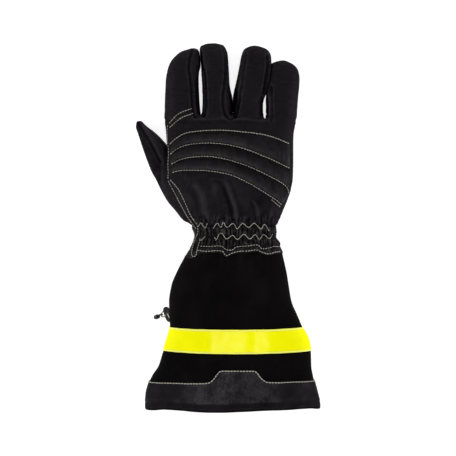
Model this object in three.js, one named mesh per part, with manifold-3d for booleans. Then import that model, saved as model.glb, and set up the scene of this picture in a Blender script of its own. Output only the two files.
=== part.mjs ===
// A long gauntlet work glove for the right hand, lying palm-down: the back of the hand faces +Z,
// the fingers point along +Y and the thumb lies on the -X side. Millimetres, +Z up.
// Leather hand with five stalls, a padded knuckle panel, a gathered elastic wrist, a flared
// suede-like cuff with a yellow tape band and a leather hem, and a small clip at the cuff's edge.
import * as THREE from 'three';
import { mergeVertices } from 'three/addons/utils/BufferGeometryUtils.js';
import Module from 'manifold-3d';

const wasm = await Module();
wasm.setup();

// ---- driving dimensions -------------------------------------------------------------------
const LEATHER = 2.0; // wall of the leather hand and stalls
const CUFF_WALL = 2.6; // wall of the lined cuff cloth
const GAP = 0.35; // clearance kept between neighbouring pieces
const SEAT = 1.2; // extra thickness clamped flat on the resting side
const WIDEST = 0.42; // height of a section's widest point, as a share of its height
const TOP_ROUND = 2.35; // roundness exponent of a section's upper half
const SIDE_ROUND = 3.4; // roundness exponent of a section's lower half
const THUMB_BASE_Y = 50; // where the thumb stall meets the hand
const FINGER_BASE_Y = 114; // where the four finger stalls meet the hand
const WRIST_Y = 0; // where the hand meets the gathered wrist
const CUFF_TOP_Y = -24.6; // the double seam between wrist and cuff
const BAND_Y = [-127.5, -103.1]; // yellow tape, 24.4 wide
const HEM_Y = [-187.4, -158.4]; // leather hem
const PEAK = { y: -145.2, topLeft: -8.3, topRight: 28.6, footLeft: -17.5, footRight: 38.5 };
const SHIFT = { x: 0.2, y: -3.0 }; // puts the origin at the middle of the object's box

// Hand sleeve: y, left and right edge, top height, lift of the thumb-side edge off the surface
const HAND = [
  { y: 113.7, left: -66.1, right: 70.5, top: 26.0, lift: 0 },
  { y: 105, left: -65.0, right: 68.7, top: 28.5, lift: 3 },
  { y: 96, left: -64.2, right: 67.2, top: 30.5, lift: 9 },
  { y: 86, left: -63.6, right: 66.9, top: 32.0, lift: 13 },
  { y: 70, left: -62.3, right: 66.9, top: 33.0, lift: 15 },
  { y: 52, left: -61.5, right: 66.3, top: 33.5, lift: 15 },
  { y: 40, left: -57.5, right: 64.3, top: 33.5, lift: 13 },
  { y: 28, left: -51.4, right: 60.4, top: 33.0, lift: 8 },
  { y: 15, left: -44.6, right: 54.9, top: 32.5, lift: 3 },
  { y: 6, left: -39.6, right: 51.0, top: 32.0, lift: 0 },
  { y: 0.3, left: -37.4, right: 49.3, top: 31.5, lift: 0 },
];
// Heel of the thumb, which merges into the hand sleeve
const HEEL = [
  { y: 49.7, left: -74.6, right: -47.0, top: 19.0 },
  { y: 46.5, left: -73.2, right: -32.0, top: 20.5 },
  { y: 41, left: -70.4, right: -20.0, top: 22.5 },
  { y: 34, left: -66.6, right: -14.0, top: 24.0 },
  { y: 26, left: -61.4, right: -8.0, top: 25.5 },
  { y: 17, left: -53.6, right: -2.0, top: 26.0 },
  { y: 9, left: -46.8, right: 2.0, top: 26.0 },
  { y: 3, left: -37.6, right: 5.0, top: 22.0 },
];
// Stalls, from the open base to the tip
const STALLS = {
  index_finger: [
    { y: 114.1, left: -66.1, right: -28.3, top: 25.0 },
    { y: 133, left: -65.6, right: -30.0, top: 24.0 },
    { y: 154, left: -64.6, right: -30.9, top: 22.5 },
    { y: 166, left: -62.8, right: -30.4, top: 21.5 },
    { y: 175, left: -59.2, right: -30.2, top: 20.0 },
    { y: 181.5, left: -53.4, right: -31.0, top: 17.5 },
    { y: 185.6, left: -45.0, right: -32.6, top: 14.5 },
  ],
  middle_finger: [
    { y: 114.1, left: -27.7, right: 4.6, top: 25.5 },
    { y: 133, left: -26.8, right: 4.0, top: 24.5 },
    { y: 150, left: -27.3, right: 0.9, top: 23.5 },
    { y: 166, left: -28.2, right: 0.4, top: 22.0 },
    { y: 179, left: -29.0, right: -0.7, top: 20.5 },
    { y: 187.5, left: -28.2, right: -3.2, top: 17.5 },
    { y: 192.0, left: -22.6, right: -8.2, top: 13.5 },
  ],
  ring_finger: [
    { y: 114.1, left: 5.2, right: 37.2, top: 25.5 },
    { y: 133, left: 4.9, right: 36.8, top: 24.5 },
    { y: 148, left: 7.5, right: 40.6, top: 23.5 },
    { y: 164, left: 11.0, right: 43.9, top: 22.0 },
    { y: 177, left: 13.4, right: 44.0, top: 20.5 },
    { y: 184.5, left: 15.8, right: 41.4, top: 17.5 },
    { y: 189.2, left: 21.6, right: 33.0, top: 13.5 },
  ],
  little_finger: [
    { y: 114.1, left: 38.0, right: 70.3, top: 25.0 },
    { y: 125, left: 38.4, right: 71.5, top: 24.0 },
    { y: 140, left: 39.9, right: 72.5, top: 23.0 },
    { y: 155, left: 43.0, right: 73.8, top: 21.5 },
    { y: 164, left: 44.9, right: 72.3, top: 20.0 },
    { y: 170, left: 46.6, right: 67.4, top: 17.0 },
    { y: 174.0, left: 51.4, right: 61.8, top: 13.5 },
  ],
  thumb: [
    { y: 50.1, left: -74.8, right: -47.0, top: 19.0 },
    { y: 58, left: -79.2, right: -49.0, top: 19.5 },
    { y: 68, left: -83.3, right: -53.0, top: 19.5 },
    { y: 79, left: -87.3, right: -58.5, top: 19.0 },
    { y: 90, left: -91.0, right: -66.6, top: 18.0 },
    { y: 99, left: -94.0, right: -75.6, top: 16.0 },
    { y: 106, left: -96.2, right: -84.8, top: 13.5 },
    { y: 110.6, left: -95.4, right: -89.6, top: 11.0 },
  ],
};
// Gathered wrist and cuff
const WRIST = [
  { y: -0.1, left: -37.4, right: 49.3, top: 31.5 },
  { y: -6, left: -35.3, right: 49.4, top: 30.5 },
  { y: -12, left: -36.0, right: 50.5, top: 31.0 },
  { y: -18, left: -38.2, right: 53.6, top: 32.0 },
  { y: -24.2, left: -41.2, right: 55.6, top: 33.0 },
];
const CUFF = [
  { y: -24.6, left: -41.6, right: 55.8, top: 33.0 },
  { y: -33, left: -47.0, right: 57.6, top: 33.5 },
  { y: -46, left: -53.6, right: 60.3, top: 34.5 },
  { y: -60, left: -58.8, right: 62.2, top: 35.5 },
  { y: -76, left: -61.2, right: 65.3, top: 37.0 },
  { y: -90, left: -61.0, right: 71.2, top: 38.5 },
  { y: -103, left: -61.3, right: 77.2, top: 40.0 },
  { y: -116, left: -65.0, right: 83.0, top: 41.0 },
  { y: -130, left: -69.1, right: 85.6, top: 42.0 },
  { y: -143, left: -72.8, right: 85.8, top: 42.5 },
  { y: -158, left: -81.6, right: 89.0, top: 43.0 },
  { y: -172, left: -85.6, right: 92.8, top: 43.0 },
  { y: -184, left: -86.2, right: 95.0, top: 42.5 },
  { y: -188, left: -85.6, right: 95.0, top: 42.0 },
];
// Knuckle panel: its four seams, as x and y along each, thumb side first
const PAD_SEAMS = [
  { name: 'first', at: [[-58.6, 87.4], [-50.0, 94.6], [-38.4, 99.6], [-14, 100.6], [8, 100.6], [24, 98.2], [38, 97.0], [50, 92.8], [62.4, 86.4]] },
  { name: 'second', at: [[-58.4, 76.8], [-50.0, 83.6], [-40, 86.6], [-22, 87.2], [-4, 86.6], [14, 83.4], [32, 77.4], [48, 70.8], [62.6, 62.0]] },
  { name: 'third', at: [[-58.2, 65.8], [-47.6, 71.0], [-36, 72.8], [-18, 73.4], [2, 70.8], [20, 65.2], [36, 57.2], [50, 49.2], [59.8, 38.4]] },
  { name: 'fourth', at: [[-57.4, 57.6], [-46.0, 59.4], [-30, 59.6], [-12, 58.2], [4, 54.8], [20, 47.6], [36, 38.4], [46, 30.6], [53.4, 22.4]] },
];
const PUFF = 3.4; // rise of each padded channel
const PAD_EDGE = 1.1; // thickness along a seam
// Clip at the cuff's thumb-side edge
const LOOP = { x: -64.9, y: -88.7, z: 10.5, half: 7.0, side: 2.25, width: 2.6, thick: 1.5, lean: 19 };
const RING = { r: 3.5, wire: 0.5, tilt: 42, droop: 33 };
const TOGGLE = { half: 3.9, wide: 2.35, eye: 1.55, eyeWire: 0.5 };

// ---- shapes -------------------------------------------------------------------------------
const lerp = (a, b, t) => a + (b - a) * t;
function rowAt(table, y) {
  const rising = table[table.length - 1].y > table[0].y;
  for (let i = 0; i < table.length - 1; i++) {
    const a = table[i], b = table[i + 1];
    if (rising ? y <= b.y : y >= b.y) return mix(a, b, (y - a.y) / (b.y - a.y));
  }
  const n = table.length;
  return mix(table[n - 2], table[n - 1], (y - table[n - 2].y) / (table[n - 1].y - table[n - 2].y));
}
function mix(a, b, t) {
  const r = {};
  for (const k of Object.keys(a)) r[k] = lerp(a[k], b[k], t);
  return r;
}
// How far the hand's underside is lifted at x, over the folded thumb
const liftAt = (row, x) => (row.lift || 0) * Math.min(1.1, Math.max(0, (-30 - x) / 32)) ** 2;
// One closed section in a plane of constant y, inset all round, flat where it rests
function ring(row, inset, count, ripple = 0) {
  const cx = (row.left + row.right) / 2, hw = (row.right - row.left) / 2 - inset;
  const lo = inset, hi = row.top - inset, zc = lo + (hi - lo) * WIDEST;
  const points = [];
  for (let k = 0; k < count; k++) {
    const a = (2 * Math.PI * k) / count, c = Math.cos(a), s = Math.sin(a);
    const n = s >= 0 ? TOP_ROUND : SIDE_ROUND;
    const x = cx + hw * Math.sign(c) * Math.abs(c) ** (2 / n);
    let z = s >= 0 ? zc + (hi - zc) * s ** (2 / n) : zc - (zc - lo + SEAT) * Math.abs(s) ** (2 / n);
    z = Math.max(z, lo);
    if (ripple && s > 0.15) z += ripple * (k % 2 ? 1 : -1) * Math.min(1, s * 2);
    z += liftAt(row, x) * (1 - (z - lo) / (hi - lo));
    points.push(new THREE.Vector3(x, row.y, Math.max(z, 0)));
  }
  return points;
}
// Height of the upper skin over (x, y)
function topAt(table, x, y) {
  const row = rowAt(table, y), cx = (row.left + row.right) / 2, hw = (row.right - row.left) / 2;
  const c = Math.min(1, Math.abs(x - cx) / hw), zc = row.top * WIDEST;
  const z = zc + (row.top - zc) * (1 - c ** TOP_ROUND) ** (1 / TOP_ROUND);
  return z + liftAt(row, x) * (1 - z / row.top);
}
// Height of the hand's underside over (x, y)
function underAt(table, x, y) {
  const row = rowAt(table, y), cx = (row.left + row.right) / 2, hw = (row.right - row.left) / 2;
  const c = Math.min(1, Math.abs(x - cx) / hw), zc = row.top * WIDEST;
  const z = Math.max(0, zc - (zc + SEAT) * (1 - c ** SIDE_ROUND) ** (1 / SIDE_ROUND));
  return z + liftAt(row, x) * (1 - z / row.top);
}
// A closed mesh from rings of equal count, capped at both ends
function loft(rings) {
  const n = rings[0].length, v = [], t = [];
  for (const r of rings) for (const p of r) v.push(p.x, p.y, p.z);
  for (let i = 0; i < rings.length - 1; i++) {
    for (let k = 0; k < n; k++) {
      const a = i * n + k, b = i * n + ((k + 1) % n), c = a + n, d = b + n;
      t.push(a, b, d, a, d, c);
    }
  }
  for (const [i, flip] of [[0, true], [rings.length - 1, false]]) {
    const mid = rings[i].reduce((m, p) => m.add(p), new THREE.Vector3()).divideScalar(n);
    const m = v.length / 3;
    v.push(mid.x, mid.y, mid.z);
    for (let k = 0; k < n; k++) {
      const a = i * n + k, b = i * n + ((k + 1) % n);
      t.push(...(flip ? [a, m, b] : [a, b, m]));
    }
  }
  return closed(v, t);
}
// A tube open at both ends: outer and inner rings joined at the rims
function sleeve(outer, inner) {
  const n = outer[0].length, m = outer.length, v = [], t = [];
  for (const r of [...outer, ...inner.slice().reverse()]) for (const p of r) v.push(p.x, p.y, p.z);
  const rows = m + inner.length;
  for (let i = 0; i < rows; i++) {
    const j = (i + 1) % rows;
    for (let k = 0; k < n; k++) {
      const a = i * n + k, b = i * n + ((k + 1) % n), c = j * n + k, d = j * n + ((k + 1) % n);
      t.push(a, b, d, a, d, c);
    }
  }
  return closed(v, t);
}
// A thin panel over a grid of {x, y, under, over}
function panel(grid) {
  const r = grid.length, c = grid[0].length, v = [], t = [];
  for (const key of ['over', 'under']) for (const line of grid) for (const p of line) v.push(p.x, p.y, p[key]);
  const at = (side, i, j) => side * r * c + i * c + j;
  for (let i = 0; i < r - 1; i++) {
    for (let j = 0; j < c - 1; j++) {
      t.push(at(0, i, j), at(0, i + 1, j), at(0, i + 1, j + 1), at(0, i, j), at(0, i + 1, j + 1), at(0, i, j + 1));
      t.push(at(1, i, j), at(1, i + 1, j + 1), at(1, i + 1, j), at(1, i, j), at(1, i, j + 1), at(1, i + 1, j + 1));
    }
  }
  const rim = [];
  for (let j = 0; j < c; j++) rim.push([0, j]);
  for (let i = 1; i < r; i++) rim.push([i, c - 1]);
  for (let j = c - 2; j >= 0; j--) rim.push([r - 1, j]);
  for (let i = r - 2; i > 0; i--) rim.push([i, 0]);
  for (let k = 0; k < rim.length; k++) {
    const [i, j] = rim[k], [p, q] = rim[(k + 1) % rim.length];
    t.push(at(0, i, j), at(0, p, q), at(1, p, q), at(0, i, j), at(1, p, q), at(1, i, j));
  }
  return closed(v, t);
}
// Vertices and triangles to a geometry whose faces point out
function closed(v, t) {
  let volume = 0;
  const p = (i) => new THREE.Vector3(v[3 * i], v[3 * i + 1], v[3 * i + 2]);
  for (let i = 0; i < t.length; i += 3) volume += p(t[i]).dot(p(t[i + 1]).cross(p(t[i + 2])));
  if (volume < 0) for (let i = 0; i < t.length; i += 3) [t[i + 1], t[i + 2]] = [t[i + 2], t[i + 1]];
  const g = new THREE.BufferGeometry();
  g.setAttribute('position', new THREE.Float32BufferAttribute(v, 3));
  g.setIndex(t);
  return g;
}
function toSolid(geometry) {
  let g = geometry.clone();
  for (const key of ['normal', 'uv']) if (g.attributes[key]) g.deleteAttribute(key);
  g = mergeVertices(g, 1e-4);
  return new wasm.Manifold(new wasm.Mesh({
    numProp: 3,
    vertProperties: new Float32Array(g.attributes.position.array),
    triVerts: new Uint32Array(g.index.array),
  }));
}
function fromSolid(solid) {
  const m = solid.getMesh(), g = new THREE.BufferGeometry();
  g.setAttribute('position', new THREE.Float32BufferAttribute(m.vertProperties, 3));
  g.setIndex(Array.from(m.triVerts));
  return g;
}

// ---- materials ----------------------------------------------------------------------------
const paint = (color, roughness, metalness = 0) => new THREE.MeshStandardMaterial({ color, roughness, metalness });
const group = new THREE.Group();
group.position.set(SHIFT.x, SHIFT.y, 0);
function add(name, geometry, material) {
  const mesh = new THREE.Mesh(geometry, material);
  mesh.name = name;
  group.add(mesh);
}

// ---- hand ---------------------------------------------------------------------------------
const HAND_COUNT = 28, STALL_COUNT = 16;
const past = (row, dy) => ({ ...row, y: row.y + dy });
{
  const outer = toSolid(loft(HAND.map((r) => ring(r, 0, HAND_COUNT))));
  const innerRows = [past(HAND[0], 1), ...HAND.slice(1, -1), past(HAND[HAND.length - 1], -1)];
  const inner = toSolid(loft(innerRows.map((r) => ring(r, LEATHER, HAND_COUNT))));
  // the heel's mouth stays under the lifted palm, its other sections merge with it
  const below = (points, room) => points.map((p) => {
    p.z = Math.min(p.z, Math.max(1.2, underAt(HAND, p.x, Math.max(p.y, 50)) - room));
    return p;
  });
  const heelOuter = toSolid(loft(HEEL.map((r, i) => (i ? ring(r, 0, 24) : below(ring(r, 0, 24), 0.9)))));
  const heelRows = [past(HEEL[0], 1), ...HEEL.slice(0, -1), past(HEEL[HEEL.length - 1], 1.5)];
  const heelInner = toSolid(loft(heelRows.map((r, i) => (i > 1 ? ring(r, LEATHER, 24) : below(ring(r, LEATHER, 24), 0.9 + LEATHER)))));
  const shell = outer.add(heelOuter).subtract(inner).subtract(heelInner);
  add('glove_body', fromSolid(shell), paint(0x201e20, 0.5));
}

// ---- stalls -------------------------------------------------------------------------------
for (const [name, rows] of Object.entries(STALLS)) {
  const thumb = name === 'thumb';
  const under = (points, room) => (thumb ? points.map((p) => {
    p.z = Math.min(p.z, Math.max(1.2, underAt(HAND, p.x, p.y) - room));
    return p;
  }) : points);
  const tip = rows[rows.length - 1];
  const outerRings = rows.map((r) => under(ring(r, 0, STALL_COUNT), 0.9));
  // the rounded end closes a little past the last section
  const end = { y: tip.y + 1.4, left: lerp(tip.left, tip.right, 0.3), right: lerp(tip.left, tip.right, 0.7), top: tip.top * 0.8 };
  outerRings.push(ring(end, 0, STALL_COUNT).map((p) => { p.z += tip.top * 0.08; return p; }));
  const innerRows = [past(rows[0], -1), ...rows.slice(1, -1)];
  const last = rows[rows.length - 2];
  const innerRings = innerRows.map((r) => under(ring(r, LEATHER, STALL_COUNT), 0.9 + LEATHER));
  innerRings.push(ring({ ...tip, y: Math.min(tip.y - 1.2, tip.y), left: tip.left + 1, right: tip.right - 1 }, LEATHER, STALL_COUNT));
  const shell = toSolid(loft(outerRings)).subtract(toSolid(loft(innerRings)));
  add(name, fromSolid(shell), paint(0x1c1a1c, 0.48));
}

// ---- knuckle panel ------------------------------------------------------------------------
{
  const along = (line, s) => {
    const f = s * (line.length - 1), i = Math.min(line.length - 2, Math.floor(f));
    return [lerp(line[i][0], line[i + 1][0], f - i), lerp(line[i][1], line[i + 1][1], f - i)];
  };
  const COLUMNS = 20, STEPS = 4, grid = [];
  for (let ch = 0; ch < 3; ch++) {
    for (let k = ch ? 1 : 0; k <= STEPS; k++) {
      const t = k / STEPS, line = [];
      for (let j = 0; j <= COLUMNS; j++) {
        const a = along(PAD_SEAMS[ch].at, j / COLUMNS), b = along(PAD_SEAMS[ch + 1].at, j / COLUMNS);
        const x = lerp(a[0], b[0], t), y = lerp(a[1], b[1], t);
        const ends = Math.min(1, Math.min(j, COLUMNS - j) / 2.5);
        const base = topAt(HAND, x, y) + 0.8;
        line.push({ x, y, under: base, over: base + PAD_EDGE + PUFF * Math.sqrt(Math.sin(Math.PI * t)) * 0.8 * ends });
      }
      grid.push(line);
    }
  }
  add('knuckle_pad', panel(grid), paint(0x242022, 0.45));
}

// ---- wrist and cuff -----------------------------------------------------------------------
{
  const outer = WRIST.map((r) => ring(r, 0, 40, r.y > -24 && r.y < -1 ? 0.7 : 0));
  const inner = WRIST.map((r) => ring(r, 2.6, 40));
  add('wrist_band', sleeve(outer, inner), paint(0x242223, 0.55));
}
const CUFF_COUNT = 28;
const cuffRing = (y, inset) => ring({ ...rowAt(CUFF, y), y }, inset, CUFF_COUNT);
const BAND_SEAT = 1.25, HEM_SEAT = 1.35; // how deep the cloth is recessed under the tape and the hem
{
  // outer skin: full cloth, recessed under the tape and again inside the hem
  const steps = [
    [-24.6, 0], [-33, 0], [-46, 0], [-60, 0], [-76, 0], [-90, 0], [BAND_Y[1] + 0.4, 0], [BAND_Y[1] + 0.35, BAND_SEAT], [-116, BAND_SEAT],
    [BAND_Y[0] - 0.35, BAND_SEAT], [BAND_Y[0] - 0.4, 0], [-143, 0], [HEM_Y[1] + 0.4, 0], [HEM_Y[1] + 0.35, HEM_SEAT], [-172, HEM_SEAT], [HEM_Y[0] + 2.2, HEM_SEAT],
  ];
  const inside = [[-24.6, CUFF_WALL], [-46, CUFF_WALL], [-76, CUFF_WALL], [-103, CUFF_WALL], [-130, CUFF_WALL], [-158, CUFF_WALL], [HEM_Y[0] + 2.2, CUFF_WALL + 0.2]];
  add('cuff', sleeve(steps.map(([y, d]) => cuffRing(y, d)), inside.map(([y, d]) => cuffRing(y, d))), paint(0x0e0c0d, 0.95));
}
{
  const ys = [BAND_Y[1], -116, BAND_Y[0]];
  add('hivis_band', sleeve(ys.map((y) => cuffRing(y, -0.5)), ys.map((y) => cuffRing(y, BAND_SEAT - GAP))), paint(0xeaf01a, 0.35));
}
{
  const outerSteps = [[HEM_Y[1], -0.7], [-172, -0.8], [HEM_Y[0] + 3, -0.8], [HEM_Y[0] + 0.8, -0.2], [HEM_Y[0], 1.0]];
  const innerSteps = [[HEM_Y[1], HEM_SEAT - GAP], [-172, HEM_SEAT - GAP], [HEM_Y[0] + 1.7, HEM_SEAT - GAP], [HEM_Y[0] + 1.6, CUFF_WALL], [HEM_Y[0], CUFF_WALL - 0.4]];
  const tube = toSolid(sleeve(outerSteps.map(([y, d]) => cuffRing(y, d)), innerSteps.map(([y, d]) => cuffRing(y, d))));
  // the peak on the back lies on the cuff cloth and runs down into the hem
  const lines = [
    { y: PEAK.y, left: PEAK.topLeft, right: PEAK.topRight, under: 0.6, over: 1.6 },
    { y: -151, left: -12, right: 32.5, under: 0.6, over: 1.7 },
    { y: HEM_Y[1] + 0.6, left: PEAK.footLeft, right: PEAK.footRight, under: 0.6, over: 1.7 },
    { y: HEM_Y[1] - 0.3, left: PEAK.footLeft, right: PEAK.footRight, under: 0.1, over: 1.4 },
    { y: -165, left: PEAK.footLeft + 2, right: PEAK.footRight - 2, under: -0.3, over: 0.6 },
  ];
  const grid = lines.map((l) => Array.from({ length: 13 }, (_, j) => {
    const x = lerp(l.left, l.right, j / 12), z = topAt(CUFF, x, l.y);
    return { x, y: l.y, under: z + l.under, over: z + l.over };
  }));
  add('hem_panel', fromSolid(tube.add(toSolid(panel(grid)))), paint(0x282629, 0.5));
}

// ---- clip ---------------------------------------------------------------------------------
class Closed3 extends THREE.Curve {
  constructor(fn) { super(); this.fn = fn; }
  getPoint(t, target = new THREE.Vector3()) { return target.copy(this.fn(t * 2 * Math.PI)); }
}
// A closed band or wire along a flat closed path: section axes are radial and normal
function hoop(path, normal, wide, thick, steps, sides) {
  const rings = [];
  for (let i = 0; i < steps; i++) {
    const p = path.getPoint(i / steps), q = path.getPoint((i + 0.01) / steps);
    const tangent = q.sub(p).normalize(), radial = new THREE.Vector3().crossVectors(tangent, normal).normalize();
    rings.push(Array.from({ length: sides }, (_, k) => {
      const a = (2 * Math.PI * k) / sides;
      return p.clone().addScaledVector(radial, (wide / 2) * Math.cos(a)).addScaledVector(normal, (thick / 2) * Math.sin(a));
    }));
  }
  const v = [], t = [];
  for (const r of rings) for (const p of r) v.push(p.x, p.y, p.z);
  for (let i = 0; i < steps; i++) {
    for (let k = 0; k < sides; k++) {
      const j = (i + 1) % steps, l = (k + 1) % sides;
      t.push(i * sides + k, j * sides + k, j * sides + l, i * sides + k, j * sides + l, i * sides + l);
    }
  }
  return closed(v, t);
}
{
  const lean = THREE.MathUtils.degToRad(LOOP.lean);
  const droop = THREE.MathUtils.degToRad(RING.droop), tilt = THREE.MathUtils.degToRad(RING.tilt);
  const alongLoop = new THREE.Vector3(-Math.sin(lean), Math.cos(lean), 0);
  // the loop, the ring and the toggle droop outwards from the cuff's edge
  const across = new THREE.Vector3(Math.cos(lean) * Math.cos(droop), Math.sin(lean) * Math.cos(droop), Math.sin(droop));
  const up = new THREE.Vector3().crossVectors(across, alongLoop).normalize();
  const centre = new THREE.Vector3(LOOP.x, LOOP.y, LOOP.z);
  const oval = new Closed3((a) => centre.clone().addScaledVector(alongLoop, (LOOP.half - LOOP.width / 2) * Math.sign(Math.sin(a)) * Math.abs(Math.sin(a)) ** 0.8)
    .addScaledVector(across, LOOP.side * Math.sign(Math.cos(a)) * Math.abs(Math.cos(a)) ** 0.6));
  add('clip_loop', hoop(oval, up, LOOP.width, LOOP.thick, 22, 8), paint(0x2b2b24, 0.85));

  // the ring hangs from the outer ply and droops towards the surface
  const out = across.clone().negate();
  const side0 = new THREE.Vector3().crossVectors(out, alongLoop).normalize();
  const side = side0.clone().multiplyScalar(Math.cos(tilt)).addScaledVector(alongLoop, Math.sin(tilt)).normalize();
  const ringNormal = new THREE.Vector3().crossVectors(out, side).normalize();
  const ringCentre = centre.clone().addScaledVector(alongLoop, -0.6).addScaledVector(out, RING.r);
  const circle = new Closed3((a) => ringCentre.clone().addScaledVector(out, RING.r * Math.cos(a)).addScaledVector(side, RING.r * Math.sin(a)));
  add('clip_ring', hoop(circle, ringNormal, 2 * RING.wire, 2 * RING.wire, 20, 6), paint(0xb8b8b4, 0.3, 1));

  // toggle: a bean with a moulded eye round the ring's far side
  const eyeCentre = ringCentre.clone().addScaledVector(out, RING.r + 0.25);
  const eyePath = new Closed3((a) => eyeCentre.clone().addScaledVector(out, TOGGLE.eye * Math.cos(a)).addScaledVector(ringNormal, TOGGLE.eye * Math.sin(a)));
  const eye = toSolid(hoop(eyePath, side, 2 * TOGGLE.eyeWire, 2 * TOGGLE.eyeWire, 14, 6));
  const bean = new THREE.SphereGeometry(1, 14, 9);
  bean.scale(TOGGLE.half, TOGGLE.wide, TOGGLE.wide);
  const beanCentre = eyeCentre.clone().addScaledVector(out, TOGGLE.eye + TOGGLE.half - 0.35);
  beanCentre.z = Math.max(beanCentre.z, TOGGLE.wide + 0.25);
  bean.applyMatrix4(new THREE.Matrix4().makeBasis(out, new THREE.Vector3().crossVectors(side, out), side).setPosition(beanCentre));
  add('clip_toggle', fromSolid(eye.add(toSolid(bean))), paint(0x101010, 0.15));
}

export default group;
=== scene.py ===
"""Looks of a long gauntlet work glove, laid palm-down: leather hand with five stalls, a quilted
knuckle panel, a gathered elastic wrist, a flared suede cuff with a yellow tape and a leather hem,
and a small clip at the cuff's edge. Shapes are worked out in millimetres and written in metres."""
import math
import bpy
import numpy as np
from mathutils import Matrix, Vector
from mathutils.bvhtree import BVHTree


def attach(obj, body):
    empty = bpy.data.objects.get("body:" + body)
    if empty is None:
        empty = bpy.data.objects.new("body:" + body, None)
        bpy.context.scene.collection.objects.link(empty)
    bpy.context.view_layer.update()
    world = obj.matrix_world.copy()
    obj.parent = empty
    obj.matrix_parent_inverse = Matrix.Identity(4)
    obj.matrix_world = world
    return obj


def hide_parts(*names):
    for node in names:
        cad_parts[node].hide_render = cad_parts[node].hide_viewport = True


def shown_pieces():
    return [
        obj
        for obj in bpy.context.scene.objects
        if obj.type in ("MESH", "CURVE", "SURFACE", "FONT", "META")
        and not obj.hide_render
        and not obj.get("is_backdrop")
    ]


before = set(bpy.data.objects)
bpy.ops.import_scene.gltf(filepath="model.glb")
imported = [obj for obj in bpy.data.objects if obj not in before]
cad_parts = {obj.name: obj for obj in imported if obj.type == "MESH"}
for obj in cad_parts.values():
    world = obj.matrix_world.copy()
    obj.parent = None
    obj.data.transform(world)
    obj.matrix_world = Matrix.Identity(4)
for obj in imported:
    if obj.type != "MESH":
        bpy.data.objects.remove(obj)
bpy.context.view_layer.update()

# ---------------------------------------------------------------- frame and camera
SHIFT = np.array([0.2, -3.0, 0.0])  # the tables' frame to the row's frame
EYE = 1130.0  # height of the camera over the surface
EYE_X = -0.38  # sideways place of the camera in the tables' frame
FOCAL = 85 / 36 * 456  # focal length in picture units


def to_px(p):
    k = FOCAL / (EYE - p[:, 2])
    return np.stack([228 + (p[:, 0] - EYE_X) * k, 228 - p[:, 1] * k], 1)


# ---------------------------------------------------------------- numbers
_rng = np.random.RandomState(11)
_perm = _rng.permutation(256)
_grad = _rng.normal(size=(256, 3))
_grad /= np.linalg.norm(_grad, axis=1)[:, None]


def noise(p, seed=0.0):
    """Smooth noise between about -1 and 1 at points (n, 3)."""
    p = np.asarray(p, float) + seed * np.array([17.13, 5.71, 9.37])
    i = np.floor(p).astype(int)
    f = p - i
    w = f * f * f * (f * (f * 6 - 15) + 10)
    out = np.zeros(len(p))
    for dx in (0, 1):
        for dy in (0, 1):
            for dz in (0, 1):
                h = _perm[(_perm[(_perm[(i[:, 0] + dx) & 255] + i[:, 1] + dy) & 255] + i[:, 2] + dz) & 255]
                g = _grad[h]
                dot = g[:, 0] * (f[:, 0] - dx) + g[:, 1] * (f[:, 1] - dy) + g[:, 2] * (f[:, 2] - dz)
                out += dot * (w[:, 0] if dx else 1 - w[:, 0]) * (w[:, 1] if dy else 1 - w[:, 1]) * (w[:, 2] if dz else 1 - w[:, 2])
    return out * 1.7


def smooth(a, b, x):
    t = np.clip((np.asarray(x, float) - a) / (b - a), 0, 1)
    return t * t * (3 - 2 * t)


def bell(d, w):
    return np.exp(-((d / w) ** 2))


def pchip(xs, ys, x):
    """Monotone cubic through (xs, ys), flat past its ends' slopes."""
    xs, ys, x = np.asarray(xs, float), np.asarray(ys, float), np.asarray(x, float)
    h, d = np.diff(xs), np.diff(ys) / np.diff(xs)
    m = np.zeros(len(xs))
    for k in range(1, len(xs) - 1):
        if d[k - 1] * d[k] > 0:
            w1, w2 = 2 * h[k] + h[k - 1], h[k] + 2 * h[k - 1]
            m[k] = (w1 + w2) / (w1 / d[k - 1] + w2 / d[k])
    m[0], m[-1] = d[0], d[-1]
    xc = np.clip(x, xs[0], xs[-1])
    k = np.clip(np.searchsorted(xs, xc) - 1, 0, len(xs) - 2)
    t = (xc - xs[k]) / h[k]
    return ((1 + 2 * t) * (1 - t) ** 2 * ys[k] + t * (1 - t) ** 2 * h[k] * m[k]
            + t * t * (3 - 2 * t) * ys[k + 1] + t * t * (t - 1) * h[k] * m[k + 1])


def row_at(table, y):
    t = sorted(table)
    ys = [r[0] for r in t]
    return [float(pchip(ys, [r[k] for r in t], y)) for k in range(1, len(t[0]))]


def spline(points, step=0.5):
    """Points evenly spaced along a smooth curve through 2-D points."""
    p = np.array(points, float)
    s = np.concatenate([[0], np.cumsum(np.linalg.norm(np.diff(p, axis=0), axis=1))])
    n = max(2, int(s[-1] / step) + 1)
    t = np.linspace(0, s[-1], n)
    if len(p) < 3:
        return np.stack([np.interp(t, s, p[:, k]) for k in range(2)], 1)
    m = np.zeros_like(p)
    for k in range(len(p)):
        a, b = max(k - 1, 0), min(k + 1, len(p) - 1)
        m[k] = (p[b] - p[a]) / (s[b] - s[a])
    k = np.clip(np.searchsorted(s, t) - 1, 0, len(p) - 2)
    h = (s[k + 1] - s[k])[:, None]
    f = (t - s[k])[:, None] / h
    return ((1 + 2 * f) * (1 - f) ** 2 * p[k] + f * (1 - f) ** 2 * h * m[k]
            + f * f * (3 - 2 * f) * p[k + 1] + f * f * (f - 1) * h * m[k + 1])


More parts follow.
